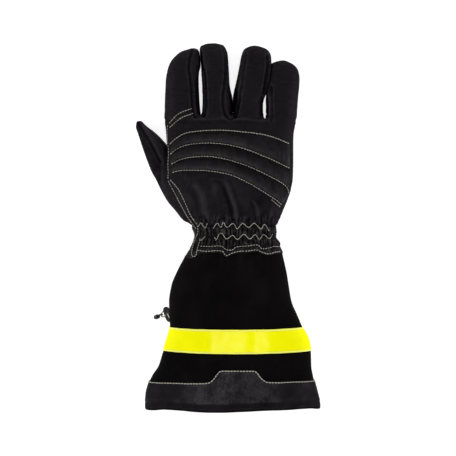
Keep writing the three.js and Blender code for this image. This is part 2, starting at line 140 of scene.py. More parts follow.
def dist_to(px, line, reach=14.0):
    """Distance from picture points to a polyline, and the share of the way along it."""
    a, b = line[:-1], line[1:]
    lo, hi = line.min(0) - reach, line.max(0) + reach
    near = np.where(np.all((px > lo) & (px < hi), axis=1))[0]
    out = np.full(len(px), 1e3)
    along = np.zeros(len(px))
    ab = b - a
    l2 = (ab ** 2).sum(1) + 1e-12
    for s in range(0, len(near), 20000):
        idx = near[s:s + 20000]
        ap = px[idx][:, None, :] - a[None]
        t = np.clip((ap * ab[None]).sum(2) / l2, 0, 1)
        d = np.linalg.norm(ap - t[:, :, None] * ab[None], axis=2)
        k = d.argmin(1)
        out[idx] = d[np.arange(len(idx)), k]
        along[idx] = (k + t[np.arange(len(idx)), k]) / len(a)
    return out, along


# ---------------------------------------------------------------- tables (mm)
HAND = [
    (113.7, -66.1, 70.5, 26.0, 0), (105, -64.9, 68.7, 28.5, 3), (96, -63.7, 67.2, 30.5, 9), (86, -62.9, 66.9, 32.0, 13),
    (70, -62.3, 66.9, 33.0, 15), (52, -61.5, 66.3, 33.5, 15), (40, -57.5, 64.3, 33.5, 13), (28, -51.4, 60.4, 33.0, 8),
    (15, -44.6, 54.9, 32.5, 3), (6, -39.6, 51.0, 32.0, 0), (0.3, -37.4, 49.3, 31.5, 0),
    (-6, -35.3, 49.4, 30.5, 0), (-12, -36.0, 50.5, 31.0, 0), (-18, -38.2, 53.6, 32.0, 0), (-24.2, -41.2, 55.6, 33.0, 0), (-30, -45.4, 57.2, 33.4, 0)]
THUMB = [
    (3, -37.6, 5.0, 22.0), (9, -46.8, 2.0, 26.0), (17, -53.6, -2.0, 26.0), (26, -61.4, -8.0, 25.5), (34, -66.6, -14.0, 24.0),
    (41, -70.4, -22.0, 22.0), (50.1, -74.8, -40.0, 19.5), (58, -79.2, -49.0, 19.5), (68, -83.3, -53.0, 19.5), (79, -87.3, -59.3, 19.0),
    (90, -91.0, -67.4, 18.0), (99, -94.0, -76.4, 16.0), (106, -96.2, -85.6, 13.5), (110.2, -95.6, -89.8, 11.0)]
FINGERS = {
    "index": (-3.0, [(114.1, -66.1, -28.7, 25.0), (133, -65.6, -30.5, 24.0), (154, -64.6, -31.3, 22.5), (163, -63.2, -30.9, 21.8), (168.5, -61.6, -29.4, 21.2),
                     (175, -58.0, -29.4, 20.0), (180.5, -52.8, -30.2, 17.8), (182.8, -49.4, -30.6, 16.6), (184.8, -45.0, -31.2, 15.0), (185.9, -41.0, -32.6, 13.6)]),
    "middle": (0.0, [(114.1, -27.5, 4.6, 25.5), (133, -26.4, 4.0, 24.5), (150, -26.8, 0.7, 23.5), (164, -27.7, 0.2, 22.0),
                     (179, -29.2, -1.0, 20.5), (186.5, -29.6, -3.2, 18.2), (189.4, -28.3, -5.2, 16.4), (190.9, -24.6, -8.8, 14.2)]),
    "ring": (3.0, [(114.1, 5.2, 35.8, 25.5), (128, 4.9, 35.6, 24.8), (134, 5.0, 36.6, 24.3), (138, 5.5, 38.3, 24.1), (141, 6.0, 39.6, 24.0), (148, 7.6, 41.3, 23.5), (164, 11.1, 44.6, 22.0),
                   (177, 13.5, 44.2, 20.5), (183.5, 15.4, 42.2, 18.4), (186.6, 17.4, 38.6, 16.6), (188.4, 21.5, 33.4, 14.2)]),
    "little": (6.0, [(114.1, 39.4, 70.3, 25.0), (125, 39.4, 71.5, 24.0), (133, 39.3, 72.1, 23.5), (137, 39.5, 72.3, 23.2), (140, 39.5, 72.5, 23.0), (148, 41.1, 73.3, 22.3), (155, 42.6, 73.8, 21.5),
                     (164, 44.0, 72.3, 20.0), (169.2, 44.4, 68.4, 17.8), (171.8, 46.2, 64.4, 16.0), (173.2, 51.4, 60.6, 13.8)]),
}
CUFF = [
    (-18, -38.2, 53.6, 32.0), (-24.6, -41.6, 55.8, 33.0), (-33, -47.0, 57.6, 33.5), (-46, -53.6, 60.3, 34.5), (-60, -58.8, 62.2, 35.5),
    (-76, -61.5, 65.3, 37.0), (-90, -61.0, 71.5, 38.5), (-103, -60.4, 77.2, 40.0), (-116, -63.4, 83.1, 41.0), (-130, -68.0, 85.6, 42.0),
    (-143, -72.4, 85.7, 42.5), (-151.5, -77.9, 87.0, 42.8), (-158, -81.0, 88.4, 43.0), (-172, -84.8, 92.2, 43.0), (-184, -85.5, 94.2, 42.5), (-190, -85.0, 94.2, 42.0)]
BAND_Y = (-103.1, -127.5)
HEM_TOP = [(-92, -157.6), (-68, -157.0), (-58.6, -156.6), (-39.4, -156.5), (-24, -156.3), (-20.2, -155.7), (-17.3, -154.4), (-14.2, -151.3),
           (-10.4, -145.3), (-8.8, -143.9), (-6.2, -143.6), (24, -143.6), (27.2, -143.9), (29.0, -145.6), (31.4, -149.0), (33.9, -152.0),
           (37.8, -154.7), (42.0, -155.4), (54.4, -155.7), (68, -155.5), (84.9, -155.9), (97, -156.2)]
PAD = [  # picture coordinates
    [(169.4, 145.4), (173.8, 140.9), (180.1, 136.4), (186.3, 133.4), (192.6, 132.2), (205.2, 131.1), (217.7, 130.7), (230.2, 131.0), (242.8, 132.3), (255.3, 133.6), (264.7, 135.1), (277.3, 139.0), (289.6, 144.2)],
    [(169.9, 155.4), (174.6, 150.7), (181.6, 146.8), (191.1, 144.4), (206.7, 143.2), (222.4, 144.1), (236.5, 146.7), (249.0, 150.5), (264.7, 156.9), (277.3, 162.5), (289.8, 168.9)],
    [(170.7, 165.1), (176.9, 161.3), (186.3, 158.2), (195.8, 157.0), (209.9, 156.6), (222.4, 158.5), (236.5, 162.4), (249.0, 166.7), (264.7, 173.9), (277.3, 180.5), (283.5, 184.4), (286.9, 188.3), (288.3, 194.6)],
    [(171.6, 172.6), (180.1, 170.6), (192.6, 170.2), (208.3, 170.8), (222.4, 172.9), (231.8, 175.3), (242.8, 180.2), (255.3, 186.7), (267.9, 194.6), (275.7, 200.1), (281.6, 205.2)]]
PAD_EXTRA = [(271.0, 199.2), (275.6, 203.2), (280.2, 207.0)]

# seams, folds and stitch lines, as picture coordinates of the view from above
SEAMS = {
    "index_r": [(192.3, 49.6), (190.2, 56.6), (188.5, 68), (189.8, 77), (191.3, 88.5), (192, 101), (193, 112.7), (195.5, 117.8)],
    "middle_l": [(200, 51.5), (201.9, 65.5), (204.5, 73), (205.3, 91), (205.7, 106), (203.8, 116.5)],
    "middle_r": [(223.6, 47.6), (225.5, 55.3), (226.1, 72), (224.9, 82), (222.9, 94.8), (222.9, 106.3), (225.5, 115.2), (230, 119.2), (235, 117.5)],
    "ring_l": [(245.5, 54), (244.2, 65.5), (243.2, 74), (242.2, 83), (240.4, 93), (239.0, 103), (237.0, 111), (235.7, 117.5)],
    "ring_r": [(266.9, 56), (268.0, 65.5), (266.4, 76), (265, 86), (263.6, 93.5)],
    "little_l": [(271.0, 87), (271.5, 95), (271.6, 104), (271.9, 113), (271.6, 120.5)],
    "thumb": [(138.8, 123), (145.8, 134.4), (153.4, 147), (161, 162.4)],
}
KNUCKLE = [(171, 121), (186, 120.5), (203.2, 121.6), (219, 120.2), (235, 121), (250, 121.6), (263, 124), (276, 124.5), (290, 122)]
FOLDS = [  # line, height, width
    ([(223.5, 178), (227.0, 185), (230.0, 193.5), (232.4, 201), (235.4, 209), (236.4, 216), (236.8, 222.4)], 2.1, 2.2),
    ([(192.5, 182.0), (198.5, 189), (203.0, 197), (204.6, 204.5), (205.4, 211), (206.8, 216.5), (208.3, 221)], 1.15, 3.6),
    ([(208.5, 179.5), (213.5, 178.6), (219.0, 178.8), (223.5, 181.0)], 0.7, 1.6),
    ([(211.5, 180.0), (215.0, 186.0), (216.4, 193.5)], 0.55, 2.6),
    ([(250.8, 198.0), (255.6, 204.5), (257.4, 212), (258, 222)], 1.2, 2.0),
    ([(214.2, 200), (218.6, 207), (220.4, 215), (221, 222)], 0.35, 2.0),
    ([(226.8, 209), (227.6, 216), (227.8, 222)], 0.6, 1.5),
    ([(268.5, 208), (271.0, 215), (271.8, 223)], 0.5, 2.2),
]
INDEX_ST = [[(168.8, 123.6), (178.5, 113.9), (191.8, 108.5)], [(169.4, 127.8), (179.7, 118.8), (193, 113.3)]]
THUMB_ST = [[(168, 180.6), (172, 188), (178.2, 200), (187.2, 216.4), (191.2, 222.2), (196.2, 229.0)], [(170, 179.5), (176.5, 187), (180.1, 192.5), (184.2, 201), (190.4, 215.2), (194.0, 220.6), (197.4, 224.6)]]
STRIP_ST = [[(197.3, 225.4), (197.9, 229.5), (197.6, 233.5), (196.2, 237.0), (194.8, 239.8), (193.3, 244.3), (192.0, 250.0), (191.6, 254.2), (193.3, 256.8), (195.7, 255.6), (197.2, 249.8), (198.6, 244.0), (200.2, 239.6)]]
ZIG = [
    [(198, 226.8), (200.8, 223), (205, 228), (207.4, 223.3)],
    [(213.1, 228.6), (217.3, 223.3), (220.8, 227.5), (223.2, 222.6), (227.1, 227.5), (233.1, 223.3), (237.3, 228.6), (242.5, 223.3), (248.8, 227.5), (254.1, 223.3), (260.8, 228.9), (264.3, 224.4), (269.2, 230.7)],
    [(199.7, 238.8), (201.1, 240.5), (205.3, 236.3)],
    [(214.5, 237), (216.2, 240.2), (219.4, 233.5), (222.2, 233.5), (226.4, 239.1), (232.7, 235.3), (237.3, 239.5), (243.9, 234.2), (249.9, 239.1), (255.2, 234.6), (259.4, 239.5), (263.6, 234.6), (269.2, 238.8), (272.7, 234.2)]]
WAVY = [
    [(200.1, 246.1), (211.7, 246.5), (218, 245.8), (222.2, 246.5), (225, 248.9), (228.5, 250.3), (232.7, 249.6), (236.2, 247.2), (245.3, 246.1), (258, 245.1), (261.5, 248.6), (269.2, 247.9), (273.4, 246.5), (279.7, 246.5)],
    [(197.3, 250.3), (206.7, 251.4), (218, 250.7), (222.9, 251.7), (226, 255.6), (231.3, 253.5), (238.3, 251.4), (248.1, 251), (257.3, 250), (262.2, 252.4), (268.5, 253.8), (275.5, 252.1), (280.4, 251.4)]]
PALM_ST = [[(167.6, 125), (167.2, 132), (167.4, 139), (168.3, 148), (168.4, 157), (167.9, 165), (168.3, 172), (168.0, 179)]]


# ---------------------------------------------------------------- sections
def section(row, y, inset, a):
    left, right, top = row[:3]
    raised = row[3] if len(row) > 3 else 0
    c, s = np.cos(a), np.sin(a)
    cx, hw, lo, hi = (left + right) / 2, (right - left) / 2 - inset, inset, top - inset
    zc = lo + (hi - lo) * 0.42
    n = np.where(s >= 0, 2.35, 3.4)
    x = cx + hw * np.sign(c) * np.abs(c) ** (2 / n)
    z = np.where(s >= 0, zc + (hi - zc) * np.abs(s) ** (2 / n), zc - (zc - lo + 1.2) * np.abs(s) ** (2 / n))
    z = np.maximum(z, lo)
    z = z + raised * np.clip((-30 - x) / 32, 0, 1.1) ** 2 * (1 - (z - lo) / (hi - lo))
    return np.stack([x, np.full_like(x, y), np.maximum(z, 0)], 1)


def palm_under(x, y):
    left, right, top, raised = row_at(HAND, y)
    cx, hw, zc = (left + right) / 2, (right - left) / 2, top * 0.42
    c = np.clip(np.abs(x - cx) / hw, 0, 1)
    z = np.maximum(0, zc - (zc + 1.2) * (1 - c ** 3.4) ** (1 / 3.4))
    return z + raised * np.clip((-30 - x) / 32, 0, 1.1) ** 2 * (1 - z / top)


ANG = np.linspace(0, 2 * np.pi, 96, endpoint=False)


def grid_faces(rows, cols, wrap_rows=False, wrap_cols=True, flip=False):
    i = np.arange(rows if wrap_rows else rows - 1)
    j = np.arange(cols if wrap_cols else cols - 1)
    I, J = np.meshgrid(i, j, indexing="ij")
    a = I * cols + J
    b = I * cols + (J + 1) % cols
    c = ((I + 1) % rows) * cols + (J + 1) % cols
    d = ((I + 1) % rows) * cols + J
    q = np.stack([a, b, c, d], -1).reshape(-1, 4)
    return q[:, ::-1] if flip else q


def loft(rings):
    """Closed body from rings, capped at both ends by a fan."""
    n, m = len(rings[0]), len(rings)
    v = np.concatenate([*rings, [rings[0].mean(0)], [rings[-1].mean(0)]])
    f = [tuple(q) for q in grid_faces(m, n)]
    for k in range(n):
        f.append((k, m * n, (k + 1) % n)[::-1] if False else (m * n, (k + 1) % n, k))
        f.append((m * n + 1, (m - 1) * n + k, (m - 1) * n + (k + 1) % n))
    return v, f


def mesh_of(name, v, f, scale=1.0):
    me = bpy.data.meshes.new(name)
    me.from_pydata(np.asarray(v, float) * scale, [], [tuple(int(i) for i in q) for q in f])
    me.validate()
    me.update()
    return me


def outward(me):
    """Turns a closed mesh's faces to point out."""
    import bmesh
    bm = bmesh.new()
    bm.from_mesh(me)
    bmesh.ops.recalc_face_normals(bm, faces=bm.faces)
    if bm.calc_volume(signed=True) < 0:
        bmesh.ops.reverse_faces(bm, faces=bm.faces)
    bm.to_mesh(me)
    bm.free()


def coords(me):
    a = np.empty(len(me.vertices) * 3)
    me.vertices.foreach_get("co", a)
    return a.reshape(-1, 3)


def set_coords(me, v):
    me.vertices.foreach_set("co", np.ascontiguousarray(v, dtype=np.float32).ravel())
    me.update()


def normals(me):
    a = np.empty(len(me.vertices) * 3)
    me.vertices.foreach_get("normal", a)
    return a.reshape(-1, 3)


def edge_pairs(me):
    e = np.empty(len(me.edges) * 2, dtype=np.int64)
    me.edges.foreach_get("vertices", e)
    return e.reshape(-1, 2)


def relax(v, e, lam, mu, times):
    n = len(v)
    deg = np.bincount(e.ravel(), minlength=n).astype(float)
    for k in range(times * 2):
        f = lam if k % 2 == 0 else mu
        if f == 0:
            continue
        s = np.stack([np.bincount(e[:, 0], weights=v[e[:, 1], c], minlength=n) + np.bincount(e[:, 1], weights=v[e[:, 0], c], minlength=n) for c in range(3)], 1)
        v = v + f * (s / deg[:, None] - v)
    return v


def add_object(name, me, materials, smooth_shade=True):
    ob = bpy.data.objects.new(name, me)
    bpy.context.scene.collection.objects.link(ob)
    for m in materials:
        me.materials.append(m)
    if smooth_shade:
        me.polygons.foreach_set("use_smooth", np.ones(len(me.polygons), dtype=bool))
    return ob


def attribute(me, name, values):
    a = me.attributes.new(name, "FLOAT", "POINT")
    a.data.foreach_set("value", np.ascontiguousarray(values, dtype=np.float32))


def finish_piece(ob, slot, *nodes):
    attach(ob, "root")
    if nodes:
        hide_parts(*nodes)


def to_row(v):
    return (v + SHIFT) * 1e-3


# ---------------------------------------------------------------- materials
def new_material(name):
    m = bpy.data.materials.new(name)
    m.use_nodes = True
    nt = m.node_tree
    nt.nodes.clear()
    out = nt.nodes.new("ShaderNodeOutputMaterial")
    sh = nt.nodes.new("ShaderNodeBsdfPrincipled")
    nt.links.new(sh.outputs["BSDF"], out.inputs["Surface"])
    return m, nt, sh


class Net:
    """Short calls for a material's nodes."""

    def __init__(self, nt):
        self.nt = nt

    def node(self, kind, props=None, **inputs):
        n = self.nt.nodes.new(kind)
        for k, v in (props or {}).items():
            setattr(n, k, v)
        for k, v in inputs.items():
            key = k.replace("_", " ")
            sock = n.inputs[int(k[1:])] if k[0] == "i" and k[1:].isdigit() else n.inputs[key]
            self.put(sock, v)
        return n

    def put(self, sock, v):
        if isinstance(v, bpy.types.NodeSocket):
            self.nt.links.new(v, sock)
        else:
            sock.default_value = v

    def coord(self, scale=(1, 1, 1), turn=0.0):
        t = self.nt.nodes.new("ShaderNodeTexCoord")
        m = self.nt.nodes.new("ShaderNodeMapping")
        self.nt.links.new(t.outputs["Object"], m.inputs["Vector"])
        m.inputs["Scale"].default_value = scale
        m.inputs["Rotation"].default_value = (0, 0, turn)
        return m.outputs["Vector"]

    def noise(self, vec, scale, detail=3.0, rough=0.55):
        return self.node("ShaderNodeTexNoise", Vector=vec, Scale=scale, Detail=detail, Roughness=rough).outputs["Fac"]

    def voronoi(self, vec, scale, feature="F1", out="Distance", rand=1.0):
        return self.node("ShaderNodeTexVoronoi", {"feature": feature}, Vector=vec, Scale=scale, Randomness=rand).outputs[out]

    def math(self, op, a, b=0.0, clamp=False):
        return self.node("ShaderNodeMath", {"operation": op, "use_clamp": clamp}, i0=a, i1=b).outputs[0]

    def remap(self, x, a, b, c, d):
        return self.node("ShaderNodeMapRange", {"clamp": True}, Value=x, From_Min=a, From_Max=b, To_Min=c, To_Max=d).outputs["Result"]

    def ramp(self, x, stops):
        n = self.nt.nodes.new("ShaderNodeValToRGB")
        self.put(n.inputs["Fac"], x)
        el = n.color_ramp.elements
        while len(el) < len(stops):
            el.new(0.5)
        for e, (p, c) in zip(el, stops):
            e.position, e.color = p, (*c, 1)
        return n.outputs["Color"]

    def mix(self, fac, a, b, blend="MIX"):
        n = self.nt.nodes.new("ShaderNodeMix")
        n.data_type = "RGBA"
        n.blend_type = blend
        self.put(n.inputs[0], fac)
        for s, v in ((n.inputs[6], a), (n.inputs[7], b)):
            self.put(s, (*v, 1) if isinstance(v, tuple) and len(v) == 3 else v)
        return n.outputs[2]

    def bump(self, height, strength, distance, under=None):
        kw = dict(Height=height, Strength=strength, Distance=distance)
        if under is not None:
            kw["Normal"] = under
        return self.node("ShaderNodeBump", **kw).outputs["Normal"]

    def attr(self, name):
        return self.node("ShaderNodeAttribute", {"attribute_name": name}).outputs["Fac"]


def leather(name, dark, mid, light, rough, spec, grain=950.0, grain_depth=0.00016, crease=1.0, pores=0.0, tint=(1.0, 0.925, 1.03)):
    m, nt, sh = new_material(name)
    sh.inputs["Specular Tint"].default_value = (*tint, 1.0)
    g = Net(nt)
    at = g.coord()
    big = g.noise(at, 38, 3, 0.6)
    fine = g.noise(at, 420, 3, 0.6)
    cells = g.voronoi(at, grain, "DISTANCE_TO_EDGE")
    cells2 = g.voronoi(at, grain * 0.42, "DISTANCE_TO_EDGE")
    body = g.ramp(g.math("ADD", g.math("MULTIPLY", big, 0.7), g.math("MULTIPLY", fine, 0.3)), [(0.32, dark), (0.5, mid), (0.68, mid)])
    painted_light = g.attr("painted_light")
    # painted light: the base colour is lightened toward the light colour where the painted light is high, and darkened
    # toward a deeper dark where it is low (painted shade)
    wear_and_painted_highlight = g.mix(g.remap(painted_light, 0.1, 1.0, 0, 0.85), body, light)
    painted_shade_body = g.mix(g.remap(painted_light, -0.15, -1.0, 0, 0.85), wear_and_painted_highlight, tuple(c * 0.45 for c in dark))
    lines = g.remap(cells, 0.0, 0.09, 0.50, 1.0)
    grooved = g.mix(1.0, painted_shade_body, g.node("ShaderNodeCombineColor", Red=lines, Green=lines, Blue=lines).outputs["Color"], "MULTIPLY")
    r = g.remap(g.math("ADD", fine, g.math("MULTIPLY", painted_light, -0.25)), 0.3, 0.75, rough - 0.07, rough + 0.09)
    nt.links.new(r, sh.inputs["Roughness"])
    height = g.math("ADD", g.math("MULTIPLY", g.remap(cells, 0, 0.16, 0, 1), 0.6), g.math("MULTIPLY", g.remap(cells2, 0, 0.12, 0, 1), 0.45))
    b1 = g.bump(height, 0.55 * crease, grain_depth)
    b2 = g.bump(g.noise(at, 150, 4, 0.6), 0.45 * crease, 0.0009, b1)
    last = b2
    if pores:
        last = g.bump(g.remap(g.voronoi(at, 620), 0.0, 0.35, 0, 1), pores, 0.0002, b2)
    nt.links.new(last, sh.inputs["Normal"])
    # painted shade: surfaces that turn away from the view are darker and duller; their base colour is darkened and
    # their specular turned down
    turn = g.node("ShaderNodeLayerWeight", Blend=0.5, Normal=last).outputs["Facing"]
    dim = g.remap(turn, 0.06, 0.72, 1.0, 0.30)
    nt.links.new(g.mix(1.0, grooved, g.node("ShaderNodeCombineColor", Red=dim, Green=dim, Blue=dim).outputs["Color"], "MULTIPLY"), sh.inputs["Base Color"])
    # painted highlight: the specular is raised where the painted light is high and lowered where it is low
    patch = g.remap(painted_light, -0.8, 1.0, 0.45, 1.5)
    nt.links.new(g.math("MULTIPLY", g.remap(turn, 0.05, 0.65, spec, spec * 0.18), patch), sh.inputs["Specular IOR Level"])
    return m


def suede(name, dark, light, spec=0.08, sheen=0.25):
    m, nt, sh = new_material(name)
    g = Net(nt)
    at = g.coord()
    nap = g.noise(g.coord((1.0, 0.45, 1.0)), 1500, 4, 0.7)
    cloud = g.noise(at, 26, 4, 0.6)
    fac = g.math("ADD", g.math("MULTIPLY", nap, 0.45), g.math("MULTIPLY", cloud, 0.55))
    body = g.ramp(fac, [(0.36, dark), (0.62, light)])
    painted_light = g.attr("painted_light")
    # painted light: the base colour is lightened where the painted light is high and darkened where it is low (painted
    # shade)
    body = g.mix(g.remap(painted_light, 0.15, 1.0, 0, 0.7), body, tuple(c * 1.9 for c in light))
    body = g.mix(g.remap(painted_light, -0.15, -1.0, 0, 0.8), body, tuple(c * 0.5 for c in dark))
    nt.links.new(body, sh.inputs["Base Color"])
    nt.links.new(g.remap(nap, 0.3, 0.7, 0.82, 0.98), sh.inputs["Roughness"])
    sh.inputs["Specular IOR Level"].default_value = spec
    sh.inputs["Sheen Weight"].default_value = sheen
    sh.inputs["Sheen Roughness"].default_value = 0.5
    sh.inputs["Sheen Tint"].default_value = (0.05, 0.045, 0.05, 1)
    b1 = g.bump(nap, 0.7, 0.00035)
    nt.links.new(g.bump(g.noise(at, 120, 4, 0.6), 0.35, 0.0011, b1), sh.inputs["Normal"])
    return m


def lining_mat(name):
    m, nt, sh = new_material(name)
    g = Net(nt)
    at = g.coord((1, 1, 1))
    wave = g.node("ShaderNodeTexWave", {"bands_direction": "X"}, Vector=at, Scale=260.0, Distortion=1.4, Detail=2.0).outputs["Fac"]
    knit = g.node("ShaderNodeTexWave", {"bands_direction": "Y"}, Vector=at, Scale=210.0, Distortion=2.0, Detail=2.0).outputs["Fac"]
    h = g.math("MULTIPLY", wave, knit)
    body = g.ramp(h, [(0.0, (0.007, 0.007, 0.008)), (0.7, (0.02, 0.02, 0.022))])
    nt.links.new(body, sh.inputs["Base Color"])
    nt.links.new(g.remap(h, 0, 1, 0.95, 0.8), sh.inputs["Roughness"])
    sh.inputs["Specular IOR Level"].default_value = 0.15
    nt.links.new(g.bump(h, 0.8, 0.0004), sh.inputs["Normal"])
    return m


def tape_mat(name):
    m, nt, sh = new_material(name)
    g = Net(nt)
    at = g.coord()
    cloud = g.noise(at, 24, 3, 0.6)
    fine = g.noise(at, 900, 2, 0.5)
    body = g.ramp(cloud, [(0.35, (0.82, 0.80, 0.001)), (0.65, (0.90, 0.885, 0.003))])
    edge = g.attr("edge")
    body = g.mix(g.remap(edge, 0.2, 1.0, 0, 0.9), body, (0.82, 0.86, 0.26))
    # painted reflection: paler patches where the gloss would show the lamps
    painted_reflection = g.attr("painted_reflection")
    body = g.mix(g.remap(painted_reflection, 0, 1, 0, 0.8), body, (1.0, 0.955, 0.088))
    nt.links.new(body, sh.inputs["Base Color"])
    nt.links.new(g.remap(fine, 0.3, 0.7, 0.26, 0.36), sh.inputs["Roughness"])
    sh.inputs["Specular IOR Level"].default_value = 0.02
    # a faint yellow glow: painted light that adds to the tape's brightness, standing in for its real fluorescence
    sh.inputs["Emission Color"].default_value = (0.80, 0.78, 0.0, 1)
    sh.inputs["Emission Strength"].default_value = 0.15
    weave = g.node("ShaderNodeTexBrick", Vector=g.coord((1, 1, 1), math.pi / 4), Scale=620.0).outputs["Fac"]
    b1 = g.bump(weave, 0.12, 0.00012)
    nt.links.new(g.bump(g.noise(at, 60, 3, 0.55), 0.25, 0.0012, b1), sh.inputs["Normal"])
    return m


def thread_mat(name, light, dark):
    m, nt, sh = new_material(name)
    g = Net(nt)
    at = g.coord()
    fac = g.noise(at, 900, 3, 0.6)
    wear_and_painted_highlight = g.noise(at, 55, 2, 0.5)
    body = g.mix(g.remap(wear_and_painted_highlight, 0.35, 0.7, 0, 0.6), g.ramp(fac, [(0.3, dark), (0.6, light)]), tuple(c * 0.72 for c in light))
    nt.links.new(body, sh.inputs["Base Color"])
    nt.links.new(g.remap(fac, 0.3, 0.7, 0.5, 0.68), sh.inputs["Roughness"])
    sh.inputs["Specular IOR Level"].default_value = 0.35
    nt.links.new(g.bump(fac, 0.4, 0.0001), sh.inputs["Normal"])
    return m


def metal_mat(name):
    m, nt, sh = new_material(name)
    g = Net(nt)
    fac = g.noise(g.coord(), 1400, 3, 0.6)
    nt.links.new(g.ramp(fac, [(0.3, (0.10, 0.097, 0.10)), (0.7, (0.19, 0.185, 0.19))]), sh.inputs["Base Color"])
    nt.links.new(g.remap(fac, 0.3, 0.7, 0.18, 0.34), sh.inputs["Roughness"])
    sh.inputs["Metallic"].default_value = 1.0
    nt.links.new(g.bump(fac, 0.15, 0.00005), sh.inputs["Normal"])
    return m


def plastic_mat(name):
    m, nt, sh = new_material(name)
    g = Net(nt)
    fac = g.noise(g.coord(), 500, 3, 0.6)
    nt.links.new(g.ramp(fac, [(0.3, (0.004, 0.004, 0.005)), (0.7, (0.008, 0.008, 0.009))]), sh.inputs["Base Color"])
    nt.links.new(g.remap(fac, 0.3, 0.7, 0.10, 0.18), sh.inputs["Roughness"])
    sh.inputs["Specular IOR Level"].default_value = 0.32
    nt.links.new(g.bump(fac, 0.08, 0.0001), sh.inputs["Normal"])
    return m


def webbing_mat(name):
    m, nt, sh = new_material(name)
    g = Net(nt)
    turned = g.coord((1, 1, 1), math.radians(-19))
    a = g.node("ShaderNodeTexWave", {"bands_direction": "Y"}, Vector=turned, Scale=330.0, Distortion=0.8, Detail=1.0).outputs["Fac"]
    b = g.node("ShaderNodeTexWave", {"bands_direction": "DIAGONAL"}, Vector=turned, Scale=420.0, Distortion=0.6, Detail=1.0).outputs["Fac"]
    h = g.math("MULTIPLY", a, b)
    nt.links.new(g.ramp(h, [(0.0, (0.012, 0.012, 0.009)), (0.7, (0.034, 0.033, 0.026))]), sh.inputs["Base Color"])
    nt.links.new(g.remap(h, 0, 1, 0.9, 0.7), sh.inputs["Roughness"])
    sh.inputs["Specular IOR Level"].default_value = 0.25
    nt.links.new(g.bump(h, 0.8, 0.0003), sh.inputs["Normal"])
    return m


# the third colour of each leather is its painted highlight colour; the first, darkened further, also serves for painted
# shade
M_HAND = leather("hand_leather", (0.0042, 0.0034, 0.0046), (0.0070, 0.0058, 0.0075), (0.0185, 0.0168, 0.0190), 0.47, 0.105)
M_PAD = leather("pad_leather", (0.0046, 0.0037, 0.0042), (0.0082, 0.0068, 0.0074), (0.0200, 0.0176, 0.0182), 0.44, 0.15)
M_WRIST = leather("wrist_leather", (0.0026, 0.0023, 0.0025), (0.0058, 0.0052, 0.0053), (0.0330, 0.0305, 0.0300), 0.45, 0.15)
M_HEM = leather("hem_leather", (0.0042, 0.0034, 0.0044), (0.0072, 0.0060, 0.0074), (0.0400, 0.0355, 0.0400), 0.46, 0.12, 430.0, 0.00040, 1.7, 0.7)
M_SUEDE = suede("cuff_suede", (0.0014, 0.0011, 0.0012), (0.0036, 0.0029, 0.0032), 0.04, 0.09)
M_LINING = lining_mat("cuff_lining")
M_TAPE = tape_mat("yellow_tape")
M_THREAD = thread_mat("cream_thread", (0.64, 0.61, 0.53), (0.42, 0.395, 0.33))
M_THREAD_Y = thread_mat("yellow_thread", (0.86, 0.87, 0.16), (0.72, 0.73, 0.08))
M_METAL = metal_mat("ring_steel")
M_PLASTIC = plastic_mat("toggle_gloss")
M_WEB = webbing_mat("loop_webbing")


# ---------------------------------------------------------------- pleats of the elastic wrist
def pleat(x, y, z, top):
    """Height of the gathered folds, 0 in the valleys to 1 on the crests."""
    q = x + np.sign(x - 7) * np.maximum(0, top - z) * 0.85
    wob = noise(np.stack([q / 13.0, y / 26.0, np.zeros_like(q)], 1), 3)
    wob2 = noise(np.stack([q / 5.0, y / 9.0, np.zeros_like(q)], 1), 4)
    phase = q / 4.1 + 0.9 * wob + 0.26 * wob2
    f = np.abs(np.sin(np.pi * phase)) ** 0.8
    size = 0.78 + 0.8 * noise(np.stack([q / 5.0, y / 5.5, np.zeros_like(q) + 2.2], 1), 5)
    crumple = noise(np.stack([q / 3.0, y / 2.7, np.zeros_like(q)], 1), 7)
    return f * np.clip(size, 0.12, 1.35) + 0.38 * crumple


ROW_A, ROW_B, ROW_C, ROW_D = 2.2, -9.3, -18.8, -23.3  # zigzag rows and the double wrist seam


def gathers(x, y, z, top):
    """Offset of the surface near the wrist, along its normal, in mm."""
    f = pleat(x, y, z, top)
    swell = np.clip(bell(y - 7.6, 4.8) * 0.85 + bell(y + 3.6, 4.2) * 1.25 + bell(y + 14.3, 3.2) * 1.05 + bell(y + 20.9, 1.6) * 0.3, 0, 1.3)
    swell = swell + 0.34 * smooth(15, 7, y) * smooth(-1, 6, y)
    pinch = bell(y - ROW_A, 1.5) + bell(y - ROW_B, 1.5) + 0.9 * bell(y - ROW_C, 0.9) + 0.9 * bell(y - ROW_D, 0.9)
    base = 0.25 * bell(y + 3.6, 4.5) + 0.2 * bell(y + 14.3, 3.0)
    fade = smooth(26, 11, y)
    return fade * ((f - 0.35) * 2.2 * (swell + 0.22) * (1 - 0.55 * np.clip(pinch, 0, 1)) - 0.75 * np.clip(pinch, 0, 1) + base)


# ---------------------------------------------------------------- hand skin
def spread(y):
    return smooth(113, 124, y)


